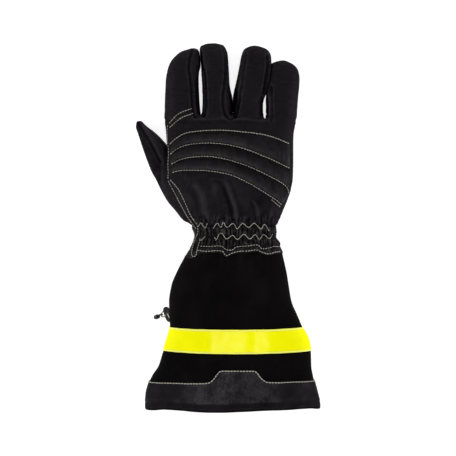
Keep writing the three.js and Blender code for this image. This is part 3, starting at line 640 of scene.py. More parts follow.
def hand_rings():
    parts = []
    rings = []
    for y in [-4, -2, *np.arange(0, 109, 2.0), 109, 110, 111, 112, 113, 114, 115, 116, 116.8, 117.3]:
        r = section(row_at(HAND, min(y, 113.7)), y, 0, ANG)
        if y < 4:  # tucked under the wrist piece
            r = section(row_at(HAND, y), y, 1.5 * float(smooth(4, 0, y)), ANG)
        if y > 108.5:
            t = (y - 108.5) / 9.0
            k = math.sqrt(max(0.0, 1 - t * t))
            mid = 11.0
            r[:, 2] = mid + (r[:, 2] - mid) * (0.12 + 0.88 * k)
            cx = r[:, 0].mean()
            r[:, 0] = cx + (r[:, 0] - cx) * (0.90 + 0.10 * k) + 0
        # splay of the finger bases
        if y > 113:
            w = float(spread(y))
            r[:, 0] += w * np.interp(r[:, 0], [-40, -20, 0, 10, 30, 45], [-3, 0, 0, 3, 3, 6])
        rings.append(r)
    parts.append(loft(rings))
    for name, (dx, rows) in FINGERS.items():
        first, last = rows[0], rows[-1]
        rings = []
        for y in [*np.arange(98, 114, 4.0), *np.arange(114.1, last[0], 1.5), last[0]]:
            row = row_at(rows, max(y, first[0]))
            if y < first[0]:
                row[2] -= 0.12 * (first[0] - y)
                hb = row_at(HAND, y)
                room = 0.9 + 0.32 * (first[0] - y)
                row[0], row[1] = max(row[0], hb[0] + room), min(row[1], hb[1] - room)
                row.append(hb[3])
            r = section(row, y, 0.25 * float(y < 114), ANG)
            r[:, 0] += dx * float(spread(y))
            rings.append(r)
        base = rings[-1]
        mid = base.mean(0)
        for dy, k in ((0.35, 0.84), (0.65, 0.55), (0.8, 0.22)):
            rings.append((base - mid) * [k, 1, k] + mid + [0, dy, 0])
        parts.append(loft(rings))
    rings = []
    for y in [*np.arange(3, 110.6, 1.5), 110.6]:
        r = section(row_at(THUMB, y), y, 0, ANG)
        if y > 46:
            room = -7 + 9.3 * float(smooth(48, 60, y))
            r[:, 2] = np.minimum(r[:, 2], np.maximum(1.2, palm_under(r[:, 0], max(y, 50)) - room))
        rings.append(r)
    base = rings[-1]
    mid = base.mean(0)
    for dy, k in ((0.5, 0.75), (0.8, 0.35)):
        rings.append((base - mid) * [k, 1, k] + mid + [0, dy, 0])
    parts.append(loft(rings))
    return parts


def cavity_parts():
    """Closed bodies that hollow the hand, joined in one mesh after another."""
    parts = []
    rings = []
    for y in [-12, -4, *np.arange(4, 108, 6.0), 110, 112]:
        r = section(row_at(HAND, y), y, 2.6, ANG[::2])
        if y < 4:
            r = section(row_at(HAND, y), y, 3.6, ANG[::2])
        if y > 108:
            r[:, 2] = np.minimum(r[:, 2], 20 - (y - 108) * 0.6)
        rings.append(r)
    parts.append(loft(rings))
    for name, (dx, rows) in FINGERS.items():
        rings = []
        for y in [*np.arange(102, rows[-1][0] - 3, 5.0), rows[-1][0] - 2.2]:
            row = row_at(rows, max(y, rows[0][0]))
            r = section(row, y, 2.7, ANG[::4])
            rings.append(r)
        parts.append(loft(rings))
    rings = []
    for y in [*np.arange(8, 104, 5.0), 106.5]:
        r = section(row_at(THUMB, y), y, 2.6, ANG[::4])
        if y > 46:
            room = -7 + 9.3 * float(smooth(48, 60, y)) + 2.5
            r[:, 2] = np.minimum(r[:, 2], np.maximum(3.4, palm_under(r[:, 0], max(y, 50)) - room))
        rings.append(r)
    parts.append(loft(rings))
    return parts


def joined(parts):
    vs, fs, base = [], [], 0
    for v, f in parts:
        vs.append(v)
        fs += [tuple(i + base for i in q) for q in f]
        base += len(v)
    return np.concatenate(vs), fs


def voxel(name, parts, size):
    v, f = joined(parts)
    me = mesh_of(name, v, f)
    outward(me)
    ob = bpy.data.objects.new(name, me)
    bpy.context.scene.collection.objects.link(ob)
    mod = ob.modifiers.new("remesh", "REMESH")
    mod.mode, mod.voxel_size, mod.adaptivity = "VOXEL", size, 0.0
    dg = bpy.context.evaluated_depsgraph_get()
    new = bpy.data.meshes.new_from_object(ob.evaluated_get(dg))
    bpy.data.objects.remove(ob)
    return new


skin = voxel("hand_skin", hand_rings(), 1.05)
v = coords(skin)
e = edge_pairs(skin)
v = relax(v, e, 0.5, -0.52, 7)
set_coords(skin, v)
v = v + normals(skin) * 0.48
v[:, 2] = np.maximum(v[:, 2], 0)
# bring the splayed fingers back beside each other
w = spread(v[:, 1])
between = [np.interp(v[:, 1], [114, 133, 154, 166, 179, 186], [-29.5, -29.9, -30.6, -30.2, -30.8, -31.0]),
           np.interp(v[:, 1], [114, 148, 164, 177], [6.4, 5.7, 7.2, 7.9]),
           np.interp(v[:, 1], [114, 125, 140, 155, 164, 174], [42.1, 42.2, 43.9, 47.1, 48.9, 49.5])]
shift = np.full(len(v), -3.0)
for edge in between:
    shift += 3.0 * smooth(edge - 1.2, edge + 1.2, v[:, 0])
finger = sum((v[:, 0] > edge).astype(int) for edge in between)
v[:, 0] -= w * shift
set_coords(skin, v)
n = normals(skin)
up = np.clip(n[:, 2], 0, 1)
facing = smooth(0.05, 0.35, n[:, 2])
px = to_px(v)
painted_light = np.zeros(len(v))
off = np.zeros(len(v))


def p3(v, s, seed=0.0, stretch=(1, 1, 1)):
    return noise(v * np.array(stretch) / s, seed)


# soft lumps and fine creases of the used leather; painted light lightens the lumps and the back of the hand (less on
# its right side), and painted shade darkens the creases
above_pad = smooth(98, 108, v[:, 1])
back = smooth(64, 50, v[:, 1]) * smooth(-4, 10, v[:, 1])
lump = 0.55 * p3(v, 17, 1) + 0.30 * p3(v, 8, 2)
off += lump * (0.35 + 0.9 * back + 0.5 * above_pad) * np.clip(facing + 0.35, 0, 1)
crease = np.abs(p3(v, 6.5, 6, (1.0, 0.45, 1.0)))
off -= 0.42 * bell(crease, 0.10) * facing * (0.4 + 0.4 * back)
crease2 = np.abs(p3(v, 9.5, 8, (0.55, 1.25, 1.0)))
off -= 0.30 * bell(crease2, 0.09) * facing * (0.3 + 0.9 * above_pad)
painted_light += (0.20 - 0.16 * smooth(232, 242, px[:, 0])) * back + 0.5 * lump * (0.4 + back) - 0.25 * bell(crease, 0.10) * back - 0.35 * bell(crease2, 0.09) * above_pad

# joints of the fingers: cross creases over each knuckle, with painted shade in the creases and a broad painted
# highlight over the joint
for x0, x1, ys in ((-66, -28, (136, 157)), (-28, 5, (140, 163)), (5, 38, (139, 160)), (38, 75, (130, 148)), (-100, -66.5, (72, 90))):
    inside = (v[:, 0] > x0) & (v[:, 0] < x1)
    for yk in ys:
        d = v[:, 1] - yk - 2.0 * p3(v, 14, yk) - 0.004 * (v[:, 0] - (x0 + x1) / 2) ** 2
        for dd, a in ((-3.4, 0.30), (0.0, 0.42), (3.2, 0.30)):
            off -= inside * facing * a * bell(d - dd, 0.8)
            painted_light -= inside * facing * a * 0.6 * bell(d - dd, 0.8)
        off += inside * facing * 0.45 * bell(d, 5.5)
        painted_light += inside * facing * 0.18 * bell(d, 5.0)

# finger seams: the back panel's edge stands up a little beside a groove; painted shade darkens the groove and a painted
# highlight lies on the raised edge
for name, line in SEAMS.items():
    d, _ = dist_to(px, spline(line, 1.0))
    deep = 1.15 if name != "thumb" else 0.8
    soft_ = 1.0
    if name == "little_l":
        soft_ = 0.45
    elif name == "ring_l":
        soft_ = 1 - 0.6 * smooth(100, 88, px[:, 1])
    elif name == "middle_r":
        soft_ = 1 - 0.8 * smooth(78, 66, px[:, 1])
    elif name == "thumb":
        soft_ = 0.8
    off -= facing * deep * soft_ * bell(d, 0.95)
    off += facing * 0.42 * bell(d - 2.6, 1.3)
    painted_light += facing * (0.5 * bell(d - 2.5, 1.1) - 1.1 * soft_ * bell(d, 0.92))
# side strips of the fingers that catch the light beside the crotches
painted_light += 0.9 * bell(px[:, 0] - 269.0, 1.7) * smooth(94, 98, px[:, 1]) * smooth(119, 114, px[:, 1]) * (finger == 3)
painted_light += 0.5 * facing * bell(px[:, 0] - np.interp(px[:, 1], [80, 92, 102], [240.4, 238.0, 236.4]), 1.5) * smooth(76, 82, px[:, 1]) * smooth(104, 96, px[:, 1])
# the thumb has painted shade outside its seam, broken up by noise, and a painted highlight inside it
th_line = spline(SEAMS["thumb"], 1.0)
on_thumb = (v[:, 0] < -66.5) & (v[:, 1] < 116) & (v[:, 1] > 36)
out_side = smooth(0.8, -1.2, px[:, 0] - np.interp(px[:, 1], th_line[:, 1], th_line[:, 0]))
painted_light += on_thumb * ((-0.62 + 0.5 * p3(v, 6.0, 31)) * out_side * smooth(-0.2, 0.3, n[:, 2]) + 0.45 * (1 - out_side) * smooth(36, 60, v[:, 1]))
# the seam at the base of the fingers: a raised lip above it with a painted highlight, and painted shade below it
d, _ = dist_to(px, spline(KNUCKLE, 1.0))
below = smooth(-0.5, 0.5, px[:, 1] - np.interp(px[:, 0], [p[0] for p in KNUCKLE], [p[1] for p in KNUCKLE]))
uneven = (0.65 + 0.6 * p3(v, 11, 15)) * smooth(272, 260, px[:, 0])
off += facing * uneven * (0.85 * bell(d - 1.2, 2.4) * (1 - below) - 0.5 * bell(d, 1.5))
painted_light += facing * uneven * (0.75 * bell(d - 2.2, 1.8) * (1 - below) - 0.5 * bell(d - 1.0, 2.0) * below)
# wedge between the middle and ring fingers, sunk and darkened with painted shade
wedge, _ = dist_to(px, spline([(235.6, 92), (235.9, 104), (235.6, 116)], 1.0))
off -= facing * 1.6 * bell(wedge, 1.9)
painted_light -= facing * 1.0 * bell(wedge, 2.0)
# index reinforcement: the strip between the double stitches is raised; painted shade lies along the stitch lines
for line in INDEX_ST:
    d, _ = dist_to(px, spline(line, 1.0))
    off -= facing * 0.40 * bell(d, 0.8)
    painted_light -= facing * 0.35 * bell(d, 0.9)
# folds on the back of the hand: a painted highlight along each crest and painted shade in the hollow beside it,
# stronger on its left
for line, h, wd in FOLDS:
    d, t = dist_to(px, spline(line, 1.0))
    ends = smooth(0, 0.18, t) * smooth(1, 0.86, t)
    line_c = spline(line, 1.0)
    leftof = smooth(0.6, -0.6, px[:, 0] - np.interp(px[:, 1], line_c[:, 1], line_c[:, 0]))
    vary = 1 + 0.35 * p3(v, 7.5, 14)
    off += facing * h * ends * vary * bell(d, wd)
    off -= facing * h * (0.30 + 0.35 * leftof) * ends * bell(d - wd * 1.8, wd * 0.7)
    painted_light += facing * ends * (0.62 * h * vary * bell(d, wd * 0.8) - (0.28 + 0.42 * leftof) * h * 0.55 * bell(d - wd * 1.8, wd * 0.8))
# a soft lump with a painted highlight on it, and one more painted highlight spot on the back of the hand
blob = np.hypot((px[:, 0] - 202.5) / 0.8, (px[:, 1] - 201) / 1.6)
off += facing * 0.5 * bell(blob, 6.0)
painted_light += facing * 0.22 * bell(blob, 6.5)
painted_light += facing * 0.25 * bell(np.hypot((px[:, 0] - 216.5) / 1.3, (px[:, 1] - 188) / 1.2), 6.0)
# thumb-side strip between its two stitch lines: painted shade along the stitch lines, and a raised middle with a
# painted highlight
for line in THUMB_ST:
    d, _ = dist_to(px, spline(line, 1.0))
    off -= facing * 0.40 * bell(d, 0.8)
    painted_light -= facing * 0.3 * bell(d, 0.9)
mid_strip = [(169, 180), (174.2, 187.5), (179.2, 196.3), (185.6, 209), (192, 219.5), (196, 226)]
d, _ = dist_to(px, spline(mid_strip, 1.0))
off += facing * 0.55 * bell(d, 1.6)
painted_light += facing * 0.5 * bell(d, 1.4)
# gathers above the elastic, with painted light on their crests and painted shade in their valleys
top_z = np.interp(v[:, 1], [-30, -6, 6, 28, 70], [33.4, 30.5, 32, 33, 33])
ga = gathers(v[:, 0], v[:, 1], v[:, 2], top_z)
onhand = (v[:, 1] < 40) & (n[:, 2] > -0.5)
ga = ga * (0.30 + 0.70 * smooth(0.05, 0.6, n[:, 2])) - 0.35 * bell(v[:, 1] - 5, 6) * (1 - smooth(0.05, 0.6, n[:, 2]))
off += np.where(onhand, ga, 0)
painted_light += np.where(onhand, 0.75 * ga, 0)
# fine skin
off += 0.10 * p3(v, 2.6, 12) * facing

v2 = v + n * off[:, None]
# where two fingers meet they press flat against each other
touch = [np.interp(v[:, 1], [114, 133, 154, 164, 168, 181, 187], [-28.0, -28.4, -29.1, -28.9, -28.4, -29.7, -30.2]),
         np.interp(v[:, 1], [114, 133, 148], [4.9, 4.4, 4.2]),
         np.interp(v[:, 1], [114, 125, 140, 155, 164, 177], [37.6, 37.9, 39.4, 42.6, 44.4, 45.0])]
free = v[:, 1] > 119
for k, mid_x in enumerate(touch):
    slant = mid_x + 0.055 * (v2[:, 2] - 9)
    a = free & (finger == k)
    v2[a, 0] = np.minimum(v2[a, 0], slant[a] - 0.10)
    a = free & (finger == k + 1)
    v2[a, 0] = np.maximum(v2[a, 0], slant[a] + 0.10)
slant = touch[2] + 0.055 * (v2[:, 2] - 9)
v2[:, 2] += 2.6 * bell(v2[:, 0] - slant, 2.2) * smooth(7, 13, v2[:, 2]) * smooth(130, 142, v[:, 1]) * smooth(179, 168, v[:, 1])
v2[:, 2] = np.maximum(v2[:, 2], 0.0)
flat = v[:, 2] < 0.9
v2[flat, 2] = np.minimum(v2[flat, 2], v[flat, 2])
v2[v2[:, 2] < 0.35, 2] = 0.0
set_coords(skin, v2)
attribute(skin, "painted_light", np.clip(painted_light, -1, 1))

# thin out the flat resting side, then hollow the hand
ob_skin = add_object("hand_skin", skin, [M_HAND])
down = np.where((v2[:, 2] < 0.3))[0]
vg = ob_skin.vertex_groups.new(name="rest")
vg.add([int(i) for i in down], 1.0, "REPLACE")
dec = ob_skin.modifiers.new("thin", "DECIMATE")
dec.decimate_type, dec.ratio, dec.vertex_group, dec.vertex_group_factor = "COLLAPSE", 0.80, "rest", 8.0
cv, cf = None, None
cavity = voxel("hollow", cavity_parts(), 2.0)
outward(cavity)
cv = relax(coords(cavity), edge_pairs(cavity), 0.5, -0.52, 4)
set_coords(cavity, cv)
notch = [(36.5, 121.0), (36.3, 117.0), (36.5, 114.2), (37.0, 112.9), (37.6, 112.5), (38.2, 112.9), (38.7, 114.2), (38.9, 117.0), (38.7, 121.0)]
nn_ = len(notch)
nv = [(x, y, z) for z in (-3.0, 60.0) for x, y in notch]
nfc = [tuple(range(nn_))[::-1], tuple(range(nn_, 2 * nn_))] + [(k, (k + 1) % nn_, nn_ + (k + 1) % nn_, nn_ + k) for k in range(nn_)]
cav_f = [tuple(p.vertices) for p in cavity.polygons]
both_v, both_f = joined([(coords(cavity), cav_f), (np.array(nv), nfc)])
bpy.data.meshes.remove(cavity)
cavity = mesh_of("hollow", both_v, both_f)
outward(cavity)
ob_cav = bpy.data.objects.new("hollow", cavity)
bpy.context.scene.collection.objects.link(ob_cav)
cut = ob_skin.modifiers.new("hollow", "BOOLEAN")
cut.operation, cut.object, cut.solver = "DIFFERENCE", ob_cav, "MANIFOLD"
dg = bpy.context.evaluated_depsgraph_get()
hollow = bpy.data.meshes.new_from_object(ob_skin.evaluated_get(dg))
ob_skin.modifiers.clear()
ob_skin.vertex_groups.clear()
old = ob_skin.data
ob_skin.data = hollow
bpy.data.meshes.remove(old)
bpy.data.objects.remove(ob_cav)
hollow.name = "hand_skin"
set_coords(hollow, to_row(coords(hollow)))
hollow.polygons.foreach_set("use_smooth", np.ones(len(hollow.polygons), dtype=bool))
finish_piece(ob_skin, "hand_leather", "glove_body", "index_finger", "middle_finger", "ring_finger", "little_finger", "thumb")


def tree(ob):
    me = ob.data
    return BVHTree.FromPolygons([x.co for x in me.vertices], [tuple(p.vertices) for p in me.polygons])


def up_vec(p):
    return Vector(p)


SURFACES = [tree(ob_skin)]


def drop(x, y):
    """Highest surface point over (x, y) in the tables' frame: point and normal, both in mm."""
    best = None
    for t in SURFACES:
        hit = t.ray_cast(Vector(((x + SHIFT[0]) * 1e-3, (y + SHIFT[1]) * 1e-3, 0.2)), Vector((0, 0, -1)))
        if hit[0] is not None and (best is None or hit[0].z > best[0].z):
            best = hit
    if best is None:
        return None
    return np.array(best[0]) * 1e3 - SHIFT, np.array(best[1])


def look(u, v_):
    """Surface point seen at a picture point."""
    o = Vector(((SHIFT[0] + EYE_X) * 1e-3, SHIFT[1] * 1e-3, EYE * 1e-3))
    d = Vector(((u - 228) / FOCAL, -(v_ - 228) / FOCAL, -1)).normalized()
    best = None
    for t in SURFACES:
        hit = t.ray_cast(o, d)
        if hit[0] is not None and (best is None or hit[3] < best[3]):
            best = hit
    if best is None:
        return None
    nn = np.array(best[1])
    if nn[2] < 0:
        nn = -nn
    return np.array(best[0]) * 1e3 - SHIFT, nn


# ---------------------------------------------------------------- knuckle panel
def pad_line(k, s):
    return spline(PAD[k], 0.5), s


NC, STEPS = 260, 26
lines = []
for k in range(4):
    c = spline(PAD[k], 0.25)
    c = np.array([look(a_, b_)[0][:2] for a_, b_ in c])
    for _ in range(6):
        c[1:-1] = (c[:-2] + 2 * c[1:-1] + c[2:]) / 4
    s = np.concatenate([[0], np.cumsum(np.linalg.norm(np.diff(c, axis=0), axis=1))])
    t = np.linspace(0, s[-1], NC)
    lines.append(np.stack([np.interp(t, s, c[:, 0]), np.interp(t, s, c[:, 1])], 1))
lines = np.array(lines)
rows_xy, chan, tt = [], [], []
rows_xy.append(lines[0] + (lines[0] - lines[1]) / np.linalg.norm(lines[0] - lines[1], axis=1)[:, None] * 1.5)
chan.append(-1), tt.append(0.0)
rows_xy.append(lines[0] + (lines[0] - lines[1]) / np.linalg.norm(lines[0] - lines[1], axis=1)[:, None] * 0.8)
chan.append(-1), tt.append(0.5)
for k in range(3):
    for j in range(1 if k else 0, STEPS + 1):
        t = j / STEPS
        rows_xy.append(lines[k] * (1 - t) + lines[k + 1] * t)
        chan.append(k), tt.append(t)
out3 = (lines[3] - lines[2]) / np.linalg.norm(lines[3] - lines[2], axis=1)[:, None]
rows_xy.append(lines[3] + out3 * 0.8)
chan.append(3), tt.append(0.5)
rows_xy.append(lines[3] + out3 * 1.5)
chan.append(3), tt.append(0.0)
rows_xy = np.array(rows_xy)
R = len(rows_xy)
base = np.zeros((R, NC, 3))
nor = np.zeros((R, NC, 3))
for i in range(R):
    for j in range(NC):
        p, q = drop(rows_xy[i, j, 0], rows_xy[i, j, 1])
        base[i, j], nor[i, j] = p, q


def blur(a, times):
    for _ in range(times):
        b = np.pad(a, ((1, 1), (1, 1), (0, 0)), mode="edge")
        a = (b[1:-1, 1:-1] * 2 + b[:-2, 1:-1] + b[2:, 1:-1] + b[1:-1, :-2] + b[1:-1, 2:]) / 6
    return a


base = blur(base, 3)
nor = blur(nor, 5)
nor /= np.linalg.norm(nor, axis=2)[:, :, None]
chan, tt = np.array(chan), np.array(tt)
jj = np.arange(NC) / (NC - 1)
endf = smooth(0, 0.055, jj) * smooth(1, 0.955, jj)
prof = np.where((chan >= 0) & (chan < 3), np.sin(np.pi * np.clip(tt, 0, 1) ** 1.35) ** 0.80, 0.0)
rimd = np.where(chan == -1, 0.25, np.where(chan == 3, 0.25, 0.0))
flatb = base.reshape(-1, 3)
wr = (0.36 * noise(flatb * [1 / 6.5, 1 / 13.0, 0.1], 21) + 0.20 * noise(flatb * [1 / 3.0, 1 / 9.0, 0.1], 22) + 0.12 * noise(flatb * [1 / 1.7, 1 / 2.2, 0.1], 24)).reshape(R, NC)
dents = np.abs(noise(flatb * [1 / 8.0, 1 / 16.0, 0.1], 23)).reshape(R, NC)
pr = prof[:, None] * endf[None]
thick = 0.75 + 3.4 * pr * (1 + 0.12 * wr) + wr * 1.0 * np.clip(pr * 2, 0, 1) - 0.3 * bell(dents, 0.18) * pr + rimd[:, None]
edge_t = np.where((tt == 0.0) & ((chan == -1) | (chan == 3)), 0.35, 1.0)
thick *= edge_t[:, None]
thick = np.where((jj[None] < 0.004) | (jj[None] > 0.996), 0.35, thick)
over = base + nor * (thick + 0.22)[:, :, None]
under = base + nor * 0.2
pv = np.concatenate([over.reshape(-1, 3), under.reshape(-1, 3)])
fo = grid_faces(R, NC, wrap_cols=False, flip=False)
fu = grid_faces(R, NC, wrap_cols=False, flip=True) + R * NC
rim = [(0, j) for j in range(NC)] + [(i, NC - 1) for i in range(1, R)] + [(R - 1, j) for j in range(NC - 2, -1, -1)] + [(i, 0) for i in range(R - 2, 0, -1)]
fr = []
for k in range(len(rim)):
    (i, j), (p, q) = rim[k], rim[(k + 1) % len(rim)]
    fr.append((i * NC + j, R * NC + i * NC + j, R * NC + p * NC + q, p * NC + q))
pad_me = mesh_of("knuckle_quilt", to_row(pv), [*fo, *fu, *fr])
outward(pad_me)
# painted light on the knuckle panel: each channel is shaded on its upper part and at its stitch lines and lightened on
# its lower part, with light and dark blotches on its wrinkles and a painted highlight along the first channel's right
# end
lit = np.where((chan >= 0) & (chan < 3), np.interp(tt, [0, 0.06, 0.30, 0.50, 0.66, 0.80, 0.88, 0.95, 1.0], [-0.75, -0.70, -0.50, -0.10, 0.35, 0.80, 0.72, 0.0, -0.7]), -0.3)
strength = np.interp(jj, [0, 0.12, 0.30, 0.58, 0.75, 1.0], [0.55, 0.60, 0.95, 1.0, 0.72, 0.60])
pad_painted_light = 1.4 * lit[:, None] * strength[None] - 0.03 + wr * 0.8 - 0.12 * bell(dents, 0.2)
pad_painted_light += 0.7 * ((chan == 0) & (tt > 0.02) & (tt < 0.98))[:, None] * smooth(0.972, 0.985, jj)[None]
pad_painted_light = np.clip(pad_painted_light, -1, 1)
attribute(pad_me, "painted_light", np.concatenate([pad_painted_light.ravel(), np.zeros(R * NC)]))
ob_pad = add_object("knuckle_quilt", pad_me, [M_PAD])
finish_piece(ob_pad, "pad_leather", "knuckle_pad")
PAD_VALLEY = []
for k, r in enumerate([2, 2 + STEPS, 2 + 2 * STEPS, 2 + 3 * STEPS]):
    PAD_VALLEY.append((over[r], nor[r]))


# ---------------------------------------------------------------- tubes round the arm
NT = 440
DENSE = np.linspace(-np.pi / 2, 1.5 * np.pi, 1441)[:-1]


def tube_ring(table, y, low=0.45):
    """NT points round a section, closer together on the upper side, with in-plane normals."""
    r = section(row_at(table, y), y, 0, DENSE)
    nxt = np.roll(r, -1, 0)
    seg = np.linalg.norm(nxt - r, axis=1)
    zmid = (r[:, 2] + nxt[:, 2]) / 2
    wgt = seg * np.where(zmid < 2.0, low, 1.0)
    s = np.concatenate([[0], np.cumsum(wgt)])
    t = np.linspace(0, s[-1], NT + 1)[:-1]
    x = np.interp(t, s, np.append(r[:, 0], r[0, 0]))
    z = np.interp(t, s, np.append(r[:, 2], r[0, 2]))
    dx, dz = np.roll(x, -1) - np.roll(x, 1), np.roll(z, -1) - np.roll(z, 1)
    ln = np.hypot(dx, dz)
    nx, nz = dz / ln, -dx / ln
    return np.stack([x, np.full(NT, float(y)), z], 1), np.stack([nx, np.zeros(NT), nz], 1)


def cuff_wave(p, nrm):
    """Soft undulation of the cuff cloth along its normal, and how it shades."""
    y = p[:, 1]
    t = smooth(-0.35, 0.25, nrm[:, 2])
    w1 = noise(p * [1 / 34.0, 1 / 46.0, 1 / 40.0], 31)
    w2 = noise(p * [1 / 15.0, 1 / 24.0, 1 / 18.0], 32)
    tuck = smooth(-58, -26, y)
    g1 = np.abs(noise(np.stack([p[:, 0] / 9.0 + 0.35 * noise(p / 20.0, 34), y / 60.0, p[:, 2] * 0.02], 1), 33))
    d = t * (1.1 * w1 + 0.45 * w2) * (0.55 + 0.45 * smooth(-30, -60, y)) + t * tuck * (0.9 * (g1 - 0.25))
    return d, 0.5 * w1 + 0.6 * w2 + tuck * (g1 - 0.25) * 1.4


def tube(table, specs, wave=True, y_of=None):
    """Grid of points from specs of (y, offset, floor); y_of bends rows from straight."""
    pts, shade = [], []
    for y, offd, floor in specs:
        p, q = tube_ring(table, y)
        if y_of is not None:
            p = p.copy()
            dy = y_of(p, y)
            # follow the flare while moving along the arm
            a, _ = tube_ring(table, y + 2)
            b, _ = tube_ring(table, y - 2)
            p = p + (a - b) / 4.0 * dy[:, None]
        d, sh_ = cuff_wave(p, q) if wave else (np.zeros(NT), np.zeros(NT))
        r = p + q * (d + offd)[:, None]
        r[:, 2] = np.maximum(r[:, 2], floor)
        pts.append(r)
        shade.append(sh_)
    return np.array(pts), np.array(shade)


# ---------------------------------------------------------------- gathered wrist
edge_u = [150, 187, 191, 194.5, 197.6, 200.5, 206.7, 218, 222.9, 226, 231.3, 238.3, 248.1, 257.3, 262.2, 268.5, 275.5, 280.4, 330]
edge_v = [255.8, 256.8, 257.9, 258.3, 256.4, 253.2, 252.9, 252.2, 253.3, 256.9, 254.9, 252.8, 252.4, 251.5, 253.9, 255.3, 253.6, 253.0, 252.8]


def leather_edge(x, z):
    """Height along the arm where the leather ends, for the upper side; level underneath."""
    k = FOCAL / (EYE - z)
    vv = np.interp(228 + (x - EYE_X) * k, edge_u, edge_v)
    y = (228 - vv) / k
    side = smooth(6, 16, z)
    return y * side + np.interp(x, [-48, 0, 56], [-30.4, -28.0, -26.0]) * (1 - side)


WR = 64
pts, shade = [], []
ts = np.linspace(0, 1, WR)
for t in ts:
    y0 = 5.2 + (-25.2 - 5.2) * t
    p, q = tube_ring(HAND, y0)
    target = leather_edge(p[:, 0], p[:, 2])
    p = p.copy()
    y = 5.2 + (target - 5.2) * t
    # pull x and z to the section at the moved y
    a, _ = tube_ring(HAND, y0 + 1.5)
    b, _ = tube_ring(HAND, y0 - 1.5)
    p = p + (a - b) / 3.0 * (y - y0)[:, None]
    topz = np.interp(y0, [-30, -6, 6], [33.4, 30.5, 32])
    # the stitched rows wave with the seam
    row_shift = smooth(-15, -22, p[:, 1]) * (target + 25.2) * 0.9
    g_ = gathers(p[:, 0], p[:, 1] - row_shift, p[:, 2], topz)
    under_ = smooth(-0.9, -0.2, q[:, 2])
    g_ = g_ * (0.30 + 0.70 * smooth(0.0, 0.6, q[:, 2])) * (0.5 + 0.5 * under_)
    sink = 1.5 * smooth(1.0, 5.0, p[:, 1])
    lip = 0.55 * smooth(-20, -24, y0)
    fine_ = 0.16 * noise(p / 2.2, 41) + 0.26 * noise(p / 4.4, 42)
    offd_ = g_ - sink + lip + fine_ * under_
    over_cloth = smooth(-21.5, -24.0, p[:, 1])
    offd_ = offd_ * (1 - over_cloth) + np.maximum(offd_, cuff_wave(p, q)[0] + 0.85) * over_cloth
    r = p + q * offd_[:, None]
    r[:, 2] = np.maximum(r[:, 2], 0.0)
    pts.append(r)
    # painted light on the crests of the gathers, painted shade in their valleys and in a band at y = -14, and random
    # light and dark blotches
    shade.append(0.75 * g_ + 1.6 * fine_ - 0.08 - 0.48 * bell(y0 + 14.2, 2.9))
outer = np.array(pts)
shade = np.array(shade)
rows = [outer[i] for i in range(WR)]
shades = [shade[i] for i in range(WR)]
# turned edge and the inside of the leather
last = outer[-1]
cen = last.mean(0)
for dy, k_in in ((-0.45, 0.35), (-0.35, 0.95), (0.3, 1.25)):
    p, q = tube_ring(HAND, -25.2)
    r = last - q * k_in + [0, dy, 0]
    r[:, 2] = np.maximum(r[:, 2], 0.0 if k_in < 0.5 else 0.7)
    rows.append(r)
    shades.append(shade[-1] * 0)
for y0, inset in ((-20, 2.4), (-10, 2.6), (0, 2.8), (5.2, 2.9)):
    p, q = tube_ring(HAND, y0)
    r = p - q * inset
    r[:, 2] = np.maximum(r[:, 2], 2.2)
    rows.append(r)
    shades.append(np.zeros(NT))
wv = np.concatenate(rows)
wf = grid_faces(len(rows), NT, wrap_rows=True)
wrist_me = mesh_of("wrist_gathers", to_row(wv), wf)
outward(wrist_me)
attribute(wrist_me, "painted_light", np.clip(np.concatenate(shades), -1, 1))
ob_wrist = add_object("wrist_gathers", wrist_me, [M_WRIST])
finish_piece(ob_wrist, "hand_leather", "wrist_band")

# ---------------------------------------------------------------- cuff
UNDER = 0.95  # the cloth's height over the surface beneath the tape and the hem


def cuff_floor(y):
    f = UNDER * (smooth(-101.5, -103.5, y) * smooth(-129, -127, y) + smooth(-155.0, -157.0, y) + smooth(-33.0, -31.0, y))
    return float(f)


ys_out = [-20.5, -22.5, *np.arange(-24.5, -60, -1.1), *np.arange(-60, -180.5, -1.45), -181.2]
specs = [(y, -1.5 * float(smooth(-25.5, -21.5, y)) - 0.30 * float(y < -158) * 0, cuff_floor(y)) for y in ys_out]
g_out, s_out = tube(CUFF, specs)
ys_in = [-181.2, -178, -172, -162, -152, -142, -130, -118, -106, -94, -82, -70, -58, -46, -34, -26, -20.5]
g_in, s_in = tube(CUFF, [(y, -2.7 - 1.2 * float(smooth(-26, -20, y)), 3.6) for y in ys_in])
cv = np.concatenate([g_out.reshape(-1, 3), g_in.reshape(-1, 3)])
cuff_me = mesh_of("cuff_suede", to_row(cv), grid_faces(len(g_out) + len(g_in), NT, wrap_rows=True))
first_in = (len(g_out)) * NT
inner = np.array([min(p.vertices) >= first_in - NT for p in cuff_me.polygons])
outward(cuff_me)
attribute(cuff_me, "painted_light", np.clip(np.concatenate([s_out.ravel(), s_in.ravel() * 0]), -1, 1))
ob_cuff = add_object("cuff_suede", cuff_me, [M_SUEDE, M_LINING])
cuff_me.polygons.foreach_set("material_index", inner.astype(np.int32))
finish_piece(ob_cuff, "cuff_cloth", "cuff")


# ---------------------------------------------------------------- yellow tape
def band_bend(p, y):
    return 1.5 * ((p[:, 0] - 8) / 78.0) ** 2 * smooth(4, 14, p[:, 2]) + 0.18 * noise(p / 14.0, 51)


